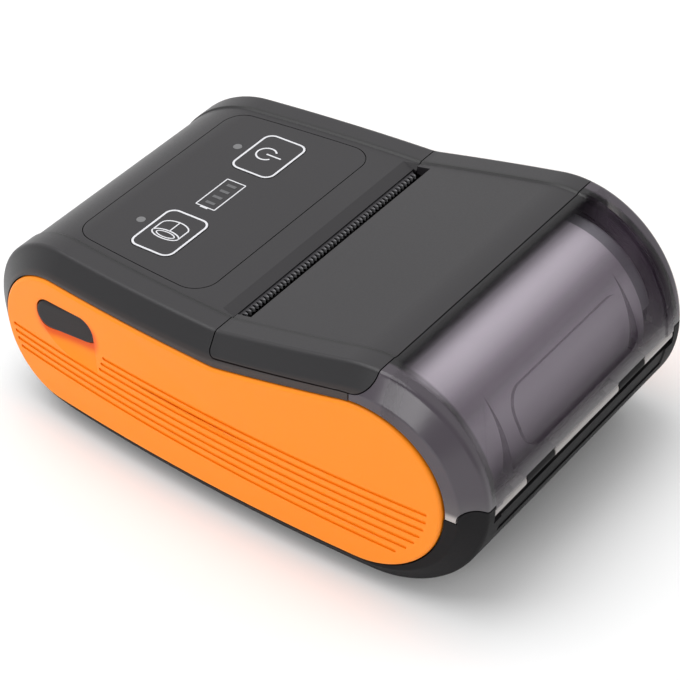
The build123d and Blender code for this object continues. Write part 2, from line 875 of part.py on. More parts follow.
with BuildPart() as hinge_pins:
    for side in (-1, 1):
        pin_start, pin_end = sorted((side * pin_inner_x, side * pin_outer_x))
        rod_along_x(hinge_pin_radius, pin_start, pin_end, hinge_y, hinge_z)
save(hinge_pins, "hinge_pins")


def side_panel_blank():
    """Both coloured panels: the outline, its crown and a softened outer edge."""
    with BuildPart() as blank:
        with BuildSketch(Plane.YZ):
            add(panel_outline())
        extrude(amount=far / 2)
        with BuildSketch(Plane.XY):
            add(crowned_band(side_half_width + panel_proud))
        extrude(amount=far, mode=Mode.INTERSECT)
        fillet(blank.faces().sort_by(Axis.X)[-1].edges(), panel_edge_radius)
        with BuildSketch(Plane.XY):
            add(crowned_band(side_half_width - panel_seat_depth + running_fit))
        extrude(amount=far, mode=Mode.SUBTRACT)
    return blank.part


def grip_grooves(short_count):
    """Fine grooves that fan out a little towards the tail; the first few stop behind the button."""
    nose_reach = panel_nose_radius - groove_nose_margin
    tail_reach = panel_tail_radius - groove_tail_margin
    with BuildPart() as grooves:
        with BuildSketch(Plane.YZ):
            for index in range(groove_count):
                front_z = top_groove_z - index * groove_pitch
                back_z = top_groove_z - index * groove_tail_pitch
                front_y = panel_nose[0] - sqrt(nose_reach**2 - (front_z - panel_nose[1]) ** 2)
                back_y = panel_tail[0] + sqrt(tail_reach**2 - (back_z - panel_tail[1]) ** 2)
                if index < short_count:
                    front_y = button_y + short_groove_start - index * short_groove_step
                length = hypot(back_y - front_y, back_z - front_z) + groove_width
                turn = degrees(atan2(back_z - front_z, back_y - front_y))
                with Locations(((front_y + back_y) / 2, (front_z + back_z) / 2)):
                    SlotOverall(length, groove_width, rotation=turn)
        extrude(amount=far / 2)
        with BuildSketch(Plane.XY):
            add(crowned_band(side_half_width + panel_proud - groove_depth))
        extrude(amount=far, mode=Mode.SUBTRACT)
    return grooves.part


# Dish round the button: a barrel-shaped cut that is deepest below the button's rear end
dish_radius = (scoop_half_height**2 + scoop_depth**2) / (2 * scoop_depth)
dish_offset = dish_radius - scoop_depth
button_along = Vector(0, cos(button_slope), sin(button_slope))
button_across = Vector(0, -sin(button_slope), cos(button_slope))
scoop_origin = (
    Vector(button_face_x + dish_offset, button_y, button_z)
    + button_along * scoop_shift
    - button_across * scoop_drop
)
scoop_plane = Plane(origin=scoop_origin, x_dir=button_along, z_dir=button_across)
hole_half_length = button_length / 2 + button_gap
hole_half_height = button_height / 2 + button_gap
with BuildPart() as button_scoop:
    with BuildSketch(scoop_plane):
        with BuildLine():
            Line((-scoop_half_length, 0), (-scoop_half_length, dish_offset))
            ThreePointArc(
                (-scoop_half_length, dish_offset), (0, dish_radius), (scoop_half_length, dish_offset)
            )
            Line((scoop_half_length, dish_offset), (scoop_half_length, 0))
            Line((scoop_half_length, 0), (-scoop_half_length, 0))
        make_face()
    revolve(axis=Axis(scoop_origin, button_along))
    with BuildSketch(button_plane):
        with BuildLine():
            Polyline(
                (-far / 2, hole_half_height),
                (hole_half_length - hole_half_height, hole_half_height),
                (hole_half_length - hole_half_height, 0),
                (hole_half_length, 0),
                (hole_half_length, -far / 2),
                (-far / 2, -far / 2),
                close=True,
            )
        make_face()
    extrude(amount=far, mode=Mode.INTERSECT)

with BuildPart() as right_panel:
    add(side_panel_blank())
    add(grip_grooves(short_groove_count), mode=Mode.SUBTRACT)
    add(button_scoop.part, mode=Mode.SUBTRACT)
    add(button_hole.part, mode=Mode.SUBTRACT)
save(right_panel, "side_panel_right")

with BuildPart() as left_panel:
    add(side_panel_blank())
    add(grip_grooves(0), mode=Mode.SUBTRACT)
    mirror(about=Plane.YZ, mode=Mode.REPLACE)
    add(port_hole.part, mode=Mode.SUBTRACT)
save(left_panel, "side_panel_left")

# Control overlay with openings for both keys and both lamps
with BuildPart() as control_panel:
    with BuildSketch(Plane.XY.offset(shell_seam_z)):
        add(overlay_plan.sketch)
        with Locations(*key_places):
            RectangleRounded(
                key_width + 2 * key_gap, key_depth + 2 * key_gap, key_corner + key_gap, mode=Mode.SUBTRACT
            )
        with Locations(*lamp_places):
            Circle(lamp_radius + running_fit, mode=Mode.SUBTRACT)
    extrude(amount=far)
    with BuildSketch(Plane.YZ):
        add(body_outline(overlay_top))
        add(body_outline(overlay_floor), mode=Mode.SUBTRACT)
    extrude(amount=far / 2, both=True, mode=Mode.INTERSECT)
save(control_panel, "control_panel")


def make_key(x, name):
    """A flanged key that follows the slope of the panel and stands a hair proud of it."""
    with BuildPart() as key:
        with BuildSketch(Plane.XY.offset(key_base_z)):
            with Locations((x, key_y)):
                RectangleRounded(key_width, key_depth, key_corner)
        extrude(amount=far)
        with BuildSketch(Plane.YZ):
            add(body_outline(overlay_top + key_proud))
        extrude(amount=far / 2, both=True, mode=Mode.INTERSECT)
        with BuildSketch(Plane.XY.offset(key_base_z)):
            with Locations((x, key_y)):
                RectangleRounded(
                    key_width + 2 * key_flange, key_depth + 2 * key_flange, key_corner + key_flange
                )
        extrude(amount=key_flange)
    save(key, name)


make_key(-key_x, "power_key")
make_key(key_x, "feed_key")

# Light pipes from the board to the overlay
with BuildPart() as status_lights:
    with BuildSketch(Plane.XY.offset(board_top_z)):
        with Locations(*lamp_places):
            Circle(lamp_radius)
    extrude(amount=far)
    with BuildSketch(Plane.YZ):
        add(body_outline(overlay_top))
    extrude(amount=far / 2, both=True, mode=Mode.INTERSECT)
save(status_lights, "status_lights")

# Main board under the panel, with a switch under each key
board_depth = board_boss_rear_y - board_boss_front_y + 2 * board_edge
with BuildPart() as main_board:
    with BuildSketch(Plane.XY.offset(board_z)):
        with Locations((0, (board_boss_front_y + board_boss_rear_y) / 2)):
            RectangleRounded(2 * (board_boss_x + board_edge), board_depth, board_edge)
    extrude(amount=board_thickness)
save(main_board, "main_board")

with BuildPart() as key_switches:
    with BuildSketch(Plane.XY.offset(board_top_z)):
        with Locations(*key_places):
            RectangleRounded(switch_size, switch_size, switch_corner)
    extrude(amount=switch_height - switch_plunger_lift)
    with BuildSketch(Plane.XY.offset(board_top_z)):
        with Locations(*key_places):
            Circle(switch_size / 4)
    extrude(amount=switch_height)
save(key_switches, "key_switches")

# Release button: face, neck and the flange that keeps it in
with BuildPart() as release_button:
    with BuildSketch(button_plane.offset(button_floor_x)):
        SlotOverall(button_length, button_height)
    extrude(amount=button_face_x - button_inset - button_floor_x)
    fillet(release_button.faces().sort_by(Axis.X)[-1].edges(), button_edge_radius)
    with BuildSketch(button_plane.offset(button_floor_x)):
        SlotOverall(button_length + 2 * button_flange, button_height + 2 * button_flange)
    extrude(amount=button_flange_thickness)
save(release_button, "release_button")

# Toothed cutter along the slot
first_tooth_x = -tooth_count * tooth_pitch / 2
tooth_tip_y = lid_seam_y + tear_bar_reach
tooth_root_y = tooth_tip_y - tooth_depth
cutter_points = [(-tear_bar_half, tear_bar_back_y), (-tear_bar_half, tooth_root_y)]
for tooth in range(tooth_count):
    cutter_points.append((first_tooth_x + tooth * tooth_pitch, tooth_root_y))
    cutter_points.append((first_tooth_x + (tooth + 0.5) * tooth_pitch, tooth_tip_y))
cutter_points.append((-first_tooth_x, tooth_root_y))
cutter_points.append((tear_bar_half, tooth_root_y))
cutter_points.append((tear_bar_half, tear_bar_back_y))
with BuildPart() as tear_bar:
    with BuildSketch(Plane.XY.offset(tear_bar_z)):
        with BuildLine():
            Polyline(*cutter_points, close=True)
        make_face()
    extrude(amount=tear_bar_thickness)
save(tear_bar, "tear_bar")


def gear_profile(teeth, phase, bore):
    """Spur gear face with straight-flanked teeth, one of them centred on the phase angle."""
    pitch_radius = module * teeth / 2
    tip_radius = pitch_radius + tip_height * module
    root_radius = pitch_radius - root_depth * module
    step = 2 * pi / teeth
    corners = []
    for tooth in range(teeth):
        centre = radians(phase) + tooth * step
        for radius, share in (
            (root_radius, -root_share),
            (tip_radius, -tip_share),
            (tip_radius, tip_share),
            (root_radius, root_share),
        ):
            turn = centre + share * step
            corners.append((radius * cos(turn), radius * sin(turn)))
    with BuildSketch() as profile:
        with BuildLine():
            Polyline(*corners, close=True)
        make_face()
        Circle(bore, mode=Mode.SUBTRACT)
    return profile.sketch


def make_gear(name, y, z, teeth, phase, bore):
    """One gear of the train on the left side of the mechanism."""
    with BuildPart() as gear:
        with BuildSketch(Plane.YZ.offset(gear_outer_x)):
            with Locations((y, z)):
                add(gear_profile(teeth, phase, bore))
        extrude(amount=gear_width)
    save(gear, name)


# Gear train: the motor drives the platen through one idler
make_gear("platen_gear", platen_y, platen_z, platen_teeth, idler_bearing, shaft_radius)
make_gear("idler_gear", idler_y, idler_z, idler_teeth, idler_phase, idler_pin_radius + running_fit)
make_gear("motor_pinion", motor_y, motor_z, pinion_teeth, pinion_phase, motor_shaft_radius)

with BuildPart() as gear_axle:
    rod_along_x(idler_pin_radius, gear_outer_x - clearance, -plate_inner_x, idler_y, idler_z)
save(gear_axle, "gear_axle")

# Platen: rubber roller, steel shaft and the two bearings that drop into the frame
with BuildPart() as platen_shaft:
    rod_along_x(shaft_radius, gear_outer_x, bearing_outer_x + shaft_overhang, platen_y, platen_z)
save(platen_shaft, "platen_shaft")

with BuildPart() as platen_roller:
    rod_along_x(platen_radius, -platen_length / 2, platen_length / 2, platen_y, platen_z)
    rod_along_x(shaft_radius, -far, far, platen_y, platen_z, mode=Mode.SUBTRACT)
save(platen_roller, "platen_roller")

with BuildPart() as platen_bushes:
    for side in (-1, 1):
        inner, outer = sorted((side * (bearing_outer_x - bearing_width), side * bearing_outer_x))
        rod_along_x(bearing_radius, inner, outer, platen_y, platen_z)
    rod_along_x(shaft_radius + running_fit, -far, far, platen_y, platen_z, mode=Mode.SUBTRACT)
save(platen_bushes, "platen_bushes")

# Bracket that hangs the platen from the lid plate
bracket_back_y = platen_y + bracket_back
with BuildPart() as platen_bracket:
    with BuildSketch(Plane.YZ):
        with BuildLine():
            Polyline(
                (platen_y - bracket_front, platen_z),
                (platen_y - bracket_front + wall / 2, top_height(lid_seam_y)),
                (bracket_back_y, far / 2),
                (bracket_back_y, top_height(lid_seam_y) + wall / 2),
                (platen_y + bracket_boss_radius, platen_z),
                close=True,
            )
        make_face()
        with Locations((platen_y, platen_z)):
            Circle(bracket_boss_radius)
        add(body_outline(-wall), mode=Mode.INTERSECT)
    extrude(amount=bracket_outer_x, both=True)
    with BuildSketch(Plane.YZ):
        with Locations((bracket_back_y - bracket_strip - far / 2, 0)):
            Rectangle(far, 2 * far)
        add(body_outline(-wall - bracket_thickness))
    extrude(amount=bracket_inner_x, both=True, mode=Mode.SUBTRACT)
    rod_along_x(shaft_radius + running_fit, -far, far, platen_y, platen_z, mode=Mode.SUBTRACT)
save(platen_bracket, "platen_bracket")

# Frame of the print mechanism, open at the top of each side plate for the platen bearings
frame_outline = [
    (frame_front_y, frame_base_z),
    (frame_back_y, frame_base_z),
    (frame_back_y, frame_top_z - frame_corner),
    (frame_back_y - frame_corner / 2, frame_top_z),
    (frame_front_y + frame_corner, frame_top_z),
    (frame_front_y, frame_top_z - frame_corner),
]
seat_radius = bearing_radius + running_fit
with BuildPart() as mechanism_frame:
    with BuildSketch(Plane.YZ.offset(plate_inner_x)):
        with BuildLine():
            Polyline(*frame_outline, close=True)
        make_face()
        with Locations((platen_y, platen_z)):
            Circle(seat_radius, mode=Mode.SUBTRACT)
        with BuildLine():
            Polyline(
                (platen_y - seat_radius, platen_z),
                (platen_y + seat_radius, platen_z),
                (platen_y + seat_radius + notch_flare, platen_z + 2 * notch_flare),
                (platen_y - seat_radius, platen_z + 2 * notch_flare),
                close=True,
            )
        make_face(mode=Mode.SUBTRACT)
    extrude(amount=frame_plate)
    mirror(about=Plane.YZ)
    box_between((-plate_inner_x, beam_y, head_pivot_z), (plate_inner_x, beam_y + frame_plate, frame_top_z))
    box_between(
        (-plate_inner_x, platen_y - frame_plate / 2, frame_base_z),
        (plate_inner_x, platen_y + frame_plate / 2, frame_base_z + foot_tab_depth),
    )
    with BuildSketch(Plane.XY.offset(frame_base_z)):
        with Locations(*frame_foot_places):
            Rectangle(foot_tab_width, foot_tab_depth)
            Circle(screw_radius, mode=Mode.SUBTRACT)
    extrude(amount=foot_tab_thickness)
    rod_along_x(head_pivot_radius + running_fit, -far, far, head_pivot_y, head_pivot_z, mode=Mode.SUBTRACT)
    rod_along_x(idler_pin_radius, -far, 0, idler_y, idler_z, mode=Mode.SUBTRACT)
    rod_along_x(motor_boss_radius, -far, 0, motor_y, motor_z, mode=Mode.SUBTRACT)
save(mechanism_frame, "mechanism_frame")

# Thermal head, its heat sink and the springs that press it on the platen
with BuildPart() as thermal_head:
    box_between(
        (-head_width / 2, heat_sink_front_y, head_top_z - head_height),
        (head_width / 2, head_front_y, head_top_z),
    )
save(thermal_head, "thermal_head")

with BuildPart() as head_heat_sink:
    box_between(
        (-head_width / 2, heat_sink_back_y, head_top_z - head_height - heat_sink_lip),
        (head_width / 2, heat_sink_front_y, head_top_z),
    )
    rod_along_x(head_pivot_radius, -plate_outer_x, plate_outer_x, head_pivot_y, head_pivot_z)
save(head_heat_sink, "head_heat_sink")

spring_start_y = beam_y + frame_plate
spring_z = head_top_z - head_spring_drop
with BuildPart() as head_springs:
    with BuildSketch(Plane.XZ.offset(-spring_start_y)):
        with Locations(*[(x, spring_z) for x in (-head_spring_x, 0, head_spring_x)]):
            Circle(head_spring_radius)
            Circle(head_spring_bore, mode=Mode.SUBTRACT)
    extrude(amount=spring_start_y - heat_sink_back_y)
save(head_springs, "head_springs")

# Stepper motor with its shaft
shaft_end_x = motor_shaft_depth - plate_inner_x
with BuildPart() as stepper_motor:
    rod_along_x(motor_radius, -plate_inner_x, motor_length - plate_inner_x, motor_y, motor_z)
    rod_along_x(motor_boss_radius - clearance, -plate_outer_x, -plate_inner_x, motor_y, motor_z)
    rod_along_x(
        motor_shaft_radius + running_fit,
        -plate_outer_x,
        shaft_end_x + clearance,
        motor_y,
        motor_z,
        mode=Mode.SUBTRACT,
    )
save(stepper_motor, "stepper_motor")

with BuildPart() as motor_shaft:
    rod_along_x(motor_shaft_radius, gear_outer_x, shaft_end_x, motor_y, motor_z)
save(motor_shaft, "motor_shaft")

# Drop-in paper bin, its rim sloping down to the hinge, and the roll that lies in it
bin_half_width = paper_width / 2 + bin_side_play
with BuildPart() as paper_bin:
    with BuildSketch(Plane.YZ):
        with Locations(tail):
            Circle(bin_outer_radius)
        with BuildLine():
            Polyline(
                (tail[0] - tail_radius, tail[1] + bin_front_rise),
                (tail[0] + tail_radius, tail[1] - bin_back_drop),
                (tail[0] + tail_radius, -far),
                (tail[0] - tail_radius, -far),
                close=True,
            )
        make_face(mode=Mode.INTERSECT)
    extrude(amount=bin_half_width + bin_wall, both=True)
    rod_along_x(bin_inner_radius, -bin_half_width, bin_half_width, *tail, mode=Mode.SUBTRACT)
save(paper_bin, "paper_bin")

with BuildPart() as paper_roll:
    rod_along_x(roll_radius, -paper_width / 2, paper_width / 2, *roll_centre)
    rod_along_x(core_radius, -far, far, *roll_centre, mode=Mode.SUBTRACT)
save(paper_roll, "paper_roll")

with BuildPart() as paper_core:
    rod_along_x(core_radius, -paper_width / 2, paper_width / 2, *roll_centre)
    rod_along_x(core_bore_radius, -far, far, *roll_centre, mode=Mode.SUBTRACT)
save(paper_core, "paper_core")

# Battery pack on the floor, over the hatch
with BuildPart() as battery_pack:
    with BuildSketch(Plane.XY.offset(battery_floor_z)):
        with Locations((0, (battery_front_y + battery_back_y) / 2)):
            RectangleRounded(2 * battery_half_width, battery_back_y - battery_front_y, battery_corner)
    extrude(amount=battery_top_z - battery_floor_z)
    chamfer(battery_pack.faces().sort_by(Axis.Z)[-1].edges(), battery_edge)
save(battery_pack, "battery_pack")

# Charging socket on its own small board, behind the port in the left side
socket_outer_x = socket_inset - crown_half_width(side_half_width, socket_y)
with BuildPart() as charging_socket:
    with BuildSketch(Plane.YZ.offset(socket_outer_x)):
        with Locations((socket_y, socket_z)):
            SlotOverall(socket_width, socket_height)
            SlotOverall(
                socket_width - 2 * socket_skin, socket_height - 2 * socket_skin, mode=Mode.SUBTRACT
            )
    extrude(amount=socket_depth)
    box_between(
        (socket_outer_x + 1, socket_y - socket_tongue / 2, socket_z - socket_skin),
        (socket_outer_x + socket_depth, socket_y + socket_tongue / 2, socket_z + socket_skin),
    )
    with BuildSketch(Plane.YZ.offset(socket_outer_x + socket_depth)):
        with Locations((socket_y, socket_z)):
            Rectangle(socket_width, socket_height)
    extrude(amount=-1)
save(charging_socket, "charging_socket")

socket_board_front_x = socket_post_x + socket_post_radius - socket_board_width
with BuildPart() as charging_board:
    box_between(
        (socket_board_front_x, socket_y - socket_board_depth / 2, socket_board_z),
        (socket_post_x + socket_post_radius, socket_y + socket_board_depth / 2, socket_board_top_z),
    )
save(charging_board, "charging_board")

# Soles and case screws
with BuildPart() as rubber_feet:
    with BuildSketch(Plane.XY):
        with Locations(*sole_places):
            Circle(foot_radius)
    extrude(amount=foot_height + foot_recess)
    chamfer(rubber_feet.faces().group_by(Axis.Z)[0].edges(), foot_edge)
save(rubber_feet, "rubber_feet")

with BuildPart() as case_screws:
    with BuildSketch(Plane.XY.offset(screw_head_seat_z)):
        with Locations(*screw_places):
            Circle(screw_radius)
    extrude(amount=shell_seam_z + screw_bite - screw_head_seat_z - clearance)
    with BuildSketch(Plane.XY.offset(screw_head_seat_z - screw_head_height)):
        with Locations(*screw_places):
            Circle(screw_head_radius)
    extrude(amount=screw_head_height)
save(case_screws, "case_screws")

# Slider that carries the push of the button to the right end of the platen shaft
slider_z = button_z - slider_drop
slider_rear_x = bearing_outer_x + clearance
slider_front_x = slider_rear_x - slider_jog
slider_front_y = button_y + button_reach + slider_gap
slider_bend_y = frame_front_y - slider_bend_room
slider_back_y = platen_y - slider_thickness
with BuildPart() as release_slider:
    with BuildSketch(Plane.XY.offset(slider_z)):
        with BuildLine():
            Polyline(
                (slider_front_x, slider_front_y),
                (slider_front_x, slider_bend_y),
                (slider_rear_x, slider_bend_y + slider_thickness),
                (slider_rear_x, slider_back_y),
                (slider_rear_x + slider_thickness, slider_back_y),
                (slider_rear_x + slider_thickness, slider_bend_y),
                (slider_front_x + slider_thickness, slider_bend_y - slider_thickness),
                (slider_front_x + slider_thickness, slider_front_y),
                close=True,
            )
        make_face()
    extrude(amount=slider_height)
    box_between(
        (slider_rear_x, slider_back_y - slider_finger, slider_z),
        (slider_rear_x + slider_thickness, slider_back_y, platen_z - shaft_radius - clearance),
    )
save(release_slider, "release_slider")
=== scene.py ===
# %% [markdown]
# Portable receipt printer
#
# The printer stands alone on a pale surface: a charcoal case with a rounded nose, an orange panel
# on each side, a control panel with two keys, a toothed slot and a smoky lid over the paper roll.
# The pieces that carry and move are already modelled, so this lesson dresses them: it sets up the
# camera and the light, gives each piece a finish, and adds the printed marks and the two cheeks that
# stand beside the paper roll.

import math

import bmesh
import bpy
from mathutils import Matrix, Vector
from mathutils.bvhtree import BVHTree


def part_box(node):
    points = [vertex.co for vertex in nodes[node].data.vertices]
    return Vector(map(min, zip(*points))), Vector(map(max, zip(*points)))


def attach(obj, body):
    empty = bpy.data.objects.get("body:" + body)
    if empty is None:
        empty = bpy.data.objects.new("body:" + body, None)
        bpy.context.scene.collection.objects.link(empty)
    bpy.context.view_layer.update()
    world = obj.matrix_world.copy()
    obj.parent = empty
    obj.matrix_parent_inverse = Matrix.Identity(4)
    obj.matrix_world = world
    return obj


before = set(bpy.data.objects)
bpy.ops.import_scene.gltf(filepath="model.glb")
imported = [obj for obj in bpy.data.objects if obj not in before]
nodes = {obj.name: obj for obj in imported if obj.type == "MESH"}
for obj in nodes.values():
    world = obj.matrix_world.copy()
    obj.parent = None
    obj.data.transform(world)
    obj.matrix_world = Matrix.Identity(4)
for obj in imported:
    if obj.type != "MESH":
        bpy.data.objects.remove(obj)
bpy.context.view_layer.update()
mm = 0.001
print("frame holds", len(nodes), "pieces")

# %% [markdown]
# Camera
#
# The photograph is taken from the hinge end, well above the printer, with a long lens. The angle, the
# place and the lens were worked out from the seams of the case, so they are written down as they are.
# A camera looks along its own -Z axis, so its matrix has the right, up and back directions as columns.

# %% Camera at the photograph's angle
camera_azimuth = math.radians(125.655)
camera_elevation = math.radians(38.611)
camera_place = Vector((322.93, 233.83, 334.39)) * mm
sensor_width = 36.0
picture_width = 680
focal_pixels = 2532.4
nearest_seen = 10 * mm

camera_data = bpy.data.cameras.new("camera")
camera_data.sensor_width = sensor_width
camera_data.lens = focal_pixels / picture_width * sensor_width
camera_data.clip_start = nearest_seen
camera = bpy.data.objects.new("camera", camera_data)
bpy.context.collection.objects.link(camera)
right = Vector((math.cos(camera_azimuth), math.sin(camera_azimuth), 0))
back = Vector(
    (
        math.sin(camera_azimuth) * math.cos(camera_elevation),
        -math.cos(camera_azimuth) * math.cos(camera_elevation),
        math.sin(camera_elevation),
    )
)
up = back.cross(right)
camera_turn = Matrix((right, up, back)).transposed().to_4x4()
camera.matrix_world = Matrix.Translation(camera_place) @ camera_turn
bpy.context.scene.camera = camera
print("lens", round(camera_data.lens, 1), "mm")

# %% [markdown]
# Light
#
# Small glossy things are photographed in a tent of white cloth: light comes from everywhere, shadows
# are faint and every edge picks up a little white. A bright world stands for the cloth. It is greyer
# on the side where the tent is open, which keeps the faces turned that way dark and lets the bent
# edges stand out. Two large soft lamps give the light a direction: one above the printer and one low
# beside the panel with the button. A product picture has a plain white ground, so the view shows
# colours as they are, with no film curve.

# %% White tent
tent_strength = 0.95
shaded_side = Vector((0.78, 0.56, 0.27))
shaded_from = 0.0
shaded_to = 0.8
shaded_grey = 0.45

world = bpy.data.worlds.new("tent")
bpy.context.scene.world = world
world.use_nodes = True
tent_nodes = world.node_tree.nodes
tent_links = world.node_tree.links
cloth = tent_nodes["Background"]
cloth.inputs["Strength"].default_value = tent_strength
direction = tent_nodes.new("ShaderNodeTexCoord")
towards_shade = tent_nodes.new("ShaderNodeVectorMath")
towards_shade.operation = "DOT_PRODUCT"
towards_shade.inputs[1].default_value = shaded_side
shade = tent_nodes.new("ShaderNodeValToRGB")
shade.color_ramp.interpolation = "EASE"
shade.color_ramp.elements[0].position = shaded_from
shade.color_ramp.elements[0].color = (1, 1, 1, 1)
shade.color_ramp.elements[1].position = shaded_to
shade.color_ramp.elements[1].color = (shaded_grey, shaded_grey, shaded_grey, 1)
tent_links.new(direction.outputs["Generated"], towards_shade.inputs[0])
tent_links.new(towards_shade.outputs["Value"], shade.inputs[0])
tent_links.new(shade.outputs["Color"], cloth.inputs["Color"])
bpy.context.scene.view_settings.view_transform = "Standard"
print("tent strength", tent_strength, "with an open side of", shaded_grey)

# %% Soft lamps
middle_of_printer = Vector((0, 0, 20 * mm))


def soft_lamp(name, place, size, power):
    """A square lamp that looks at the middle of the printer."""
    data = bpy.data.lights.new(name, "AREA")
    data.size = size
    data.energy = power
    lamp = bpy.data.objects.new(name, data)
    bpy.context.collection.objects.link(lamp)
    lamp.location = place
    aim = middle_of_printer - Vector(place)
    lamp.rotation_euler = aim.to_track_quat("-Z", "Y").to_euler()
    print(name, "lamp", size, "m wide,", power, "W")


soft_lamp("overhead", (0.1, -0.2, 0.8), 0.7, 3.6)
soft_lamp("side", (0.75, 0.05, 0.3), 0.35, 1.6)

# %% [markdown]
# Floor
#
# The printer stands on something white that has no edge in the picture. A wide flat square is enough,
# because only the soft shadow round the case shows where it is.

# %% Pale floor
floor_half = 3.0
floor_mesh = bpy.data.meshes.new("floor")
floor_shape = bmesh.new()
bmesh.ops.create_grid(floor_shape, x_segments=1, y_segments=1, size=floor_half)
floor_shape.to_mesh(floor_mesh)
floor_shape.free()
floor = bpy.data.objects.new("floor", floor_mesh)
bpy.context.collection.objects.link(floor)
print("floor is", 2 * floor_half, "m wide")

# %% [markdown]
# Shader maths
#
# A finish is a small graph of nodes. Writing its sums as Python keeps it readable, so one class wraps
# an output of a node and overloads the operators that the finishes need. Each sum then adds its own
# Math node, and no node has to be named or placed by hand.

# %% Sums on shader values
class Signal:
    """The output of a node, which can be added, subtracted and multiplied."""

    def __init__(self, finish, socket):
        self.finish = finish
        self.socket = socket

    def maths(self, operation, first, second):
        """Adds a Math node of one operation."""
        return self.finish.node("ShaderNodeMath", {"operation": operation}, {0: first, 1: second})

    def __add__(self, other):
        return self.maths("ADD", self, other)

    __radd__ = __add__

    def __mul__(self, other):
        return self.maths("MULTIPLY", self, other)

    __rmul__ = __mul__

    def __sub__(self, other):
        return self.maths("SUBTRACT", self, other)

    def __rsub__(self, other):
        return self.maths("SUBTRACT", other, self)

    def size(self):
        """The value without its sign."""
        return self.maths("ABSOLUTE", self, 0.0)

    def above(self, floor_value):
        """The value, but never under a floor."""
        return self.maths("MAXIMUM", self, floor_value)

    def root(self):
        """The square root of the value."""
        return self.maths("SQRT", self, 0.0)


print("a shader value can be added, subtracted, multiplied, made positive, floored and rooted")

# %% [markdown]
# A material under construction
#
# A second class holds one material and its shader. Every other node comes from one method, which sets
# up the node and then gives its sockets values or links. What moulded pieces need most, a place on the
# piece, noise, a soft ramp, a blend of colours and a relief, are short calls of that method. Places
# are read in the piece's own space, so a pattern stays where it is when the piece moves.

# %% Stops of a colour ramp
def fit_stops(ramp, stops):
    """Puts a ramp's stops at the given places, each with its colour."""
    while len(ramp.elements) < len(stops):
        ramp.elements.new(0.5)
    for element, (position, colour) in zip(ramp.elements, stops):
        element.position = position
        element.color = colour


print("a ramp takes stops of a position and a colour")

# %% One material
noise_roughness = 0.6


class Finish:
    """One material, with its shader and the means to feed it."""

    def __init__(self, name, **constants):
        self.material = bpy.data.materials.new(name)
        self.material.use_nodes = True
        self.tree = self.material.node_tree
        self.shader = self.tree.nodes["Principled BSDF"]
        for socket, value in constants.items():
            self.shader.inputs[socket.replace("_", " ")].default_value = value

    def node(self, kind, settings, inputs, output=0):
        """Makes any node: its settings first, then the values or links of its sockets."""
        made = self.tree.nodes.new(kind)
        for setting, value in settings.items():
            if setting == "stops":
                fit_stops(made.color_ramp, value)
            else:
                setattr(made, setting, value)
        for socket, value in inputs.items():
            self.feed(made.inputs[socket], value)
        return Signal(self, made.outputs[output])

    def feed(self, socket, value):
        """Links a shader value to a socket, or sets a plain one."""
        if isinstance(value, Signal):
            self.tree.links.new(value.socket, socket)
        else:
            socket.default_value = value

    def drive(self, socket, value):
        """Feeds one socket of the shader."""
        self.feed(self.shader.inputs[socket], value)

    def place(self):
        """Where a point is on the piece, in metres."""
        return self.node("ShaderNodeTexCoord", {}, {}, "Object")

    def along(self, axis):
        """How far a point is along X, Y or Z, in metres."""
        return self.node("ShaderNodeSeparateXYZ", {}, {0: self.place()}, axis)

    def noise(self, scale, detail=2.0):
        """Even noise in the piece's own space, from 0 to 1."""
        inputs = {
            "Vector": self.place(),
            "Scale": scale,
            "Detail": detail,
            "Roughness": noise_roughness,
        }
        return self.node("ShaderNodeTexNoise", {}, inputs)

    def ramp_between(self, value, start, end):
        """Rises softly from 0 to 1 as a value goes from start to end."""
        return self.node(
            "ShaderNodeMapRange",
            {"interpolation_type": "SMOOTHSTEP"},
            {"Value": value, "From Min": start, "From Max": end},
        )

    def blend_colours(self, share, first, second):
        """Goes from one colour to another by a share; 6, 7 and 2 are the node's colour sockets."""
        inputs = {0: share, 6: first, 7: second}
        return self.node("ShaderNodeMix", {"data_type": "RGBA"}, inputs, 2)

    def relief(self, height, strength, distance):
        """Turns a height into a tilt of the surface."""
        inputs = {"Height": height, "Strength": strength, "Distance": distance}
        self.drive("Normal", self.node("ShaderNodeBump", {}, inputs))


print("a finish starts from the plain shader, with noise of roughness", noise_roughness)


# %% Giving a finish to modelled pieces
def wear(finish, *wearers):
    """Gives one finish to several modelled pieces."""
    for wearer in wearers:
        nodes[wearer].data.materials.clear()
        nodes[wearer].data.materials.append(finish.material)
    print(finish.material.name, "is worn by", ", ".join(wearers))


print(len(nodes), "pieces wait for a finish")

# %% [markdown]
# Finish of the floor
#
# White card is dull and even. A rough white with hardly any drift keeps the soft shadow clean, and it
# is a little under full white, so that the card still takes a shade where the printer stands on it.

# %% Floor finish
card_drift_scale = 3.0
card_dark = (0.93, 0.93, 0.93, 1)
card_light = (0.94, 0.94, 0.94, 1)

floor_card = Finish("studio_floor", Roughness=0.9)
card_drift = floor_card.noise(card_drift_scale)
floor_card.drive("Base Color", floor_card.blend_colours(card_drift, card_dark, card_light))
floor.data.materials.append(floor_card.material)
print("floor finish is", floor_card.material.name)

# %% [markdown]
# Moulded plastic
#
# Every plastic piece of the printer comes out of a spark-etched mould: it has a fine even grain that
# breaks the shine, and its tone drifts a little where the plastic flowed. Image textures could show
# that, but noise on the piece's own coordinates has no seams and any scale, so one function makes it
# from two tones and a roughness.

# %% Moulded plastic
tone_drift_scale = 35.0
tone_drift_detail = 3.0
grain_scale = 2600.0
grain_detail = 1.0
grain_depth = 0.02 * mm
grain_strength = 0.25
gloss_spread = 0.12


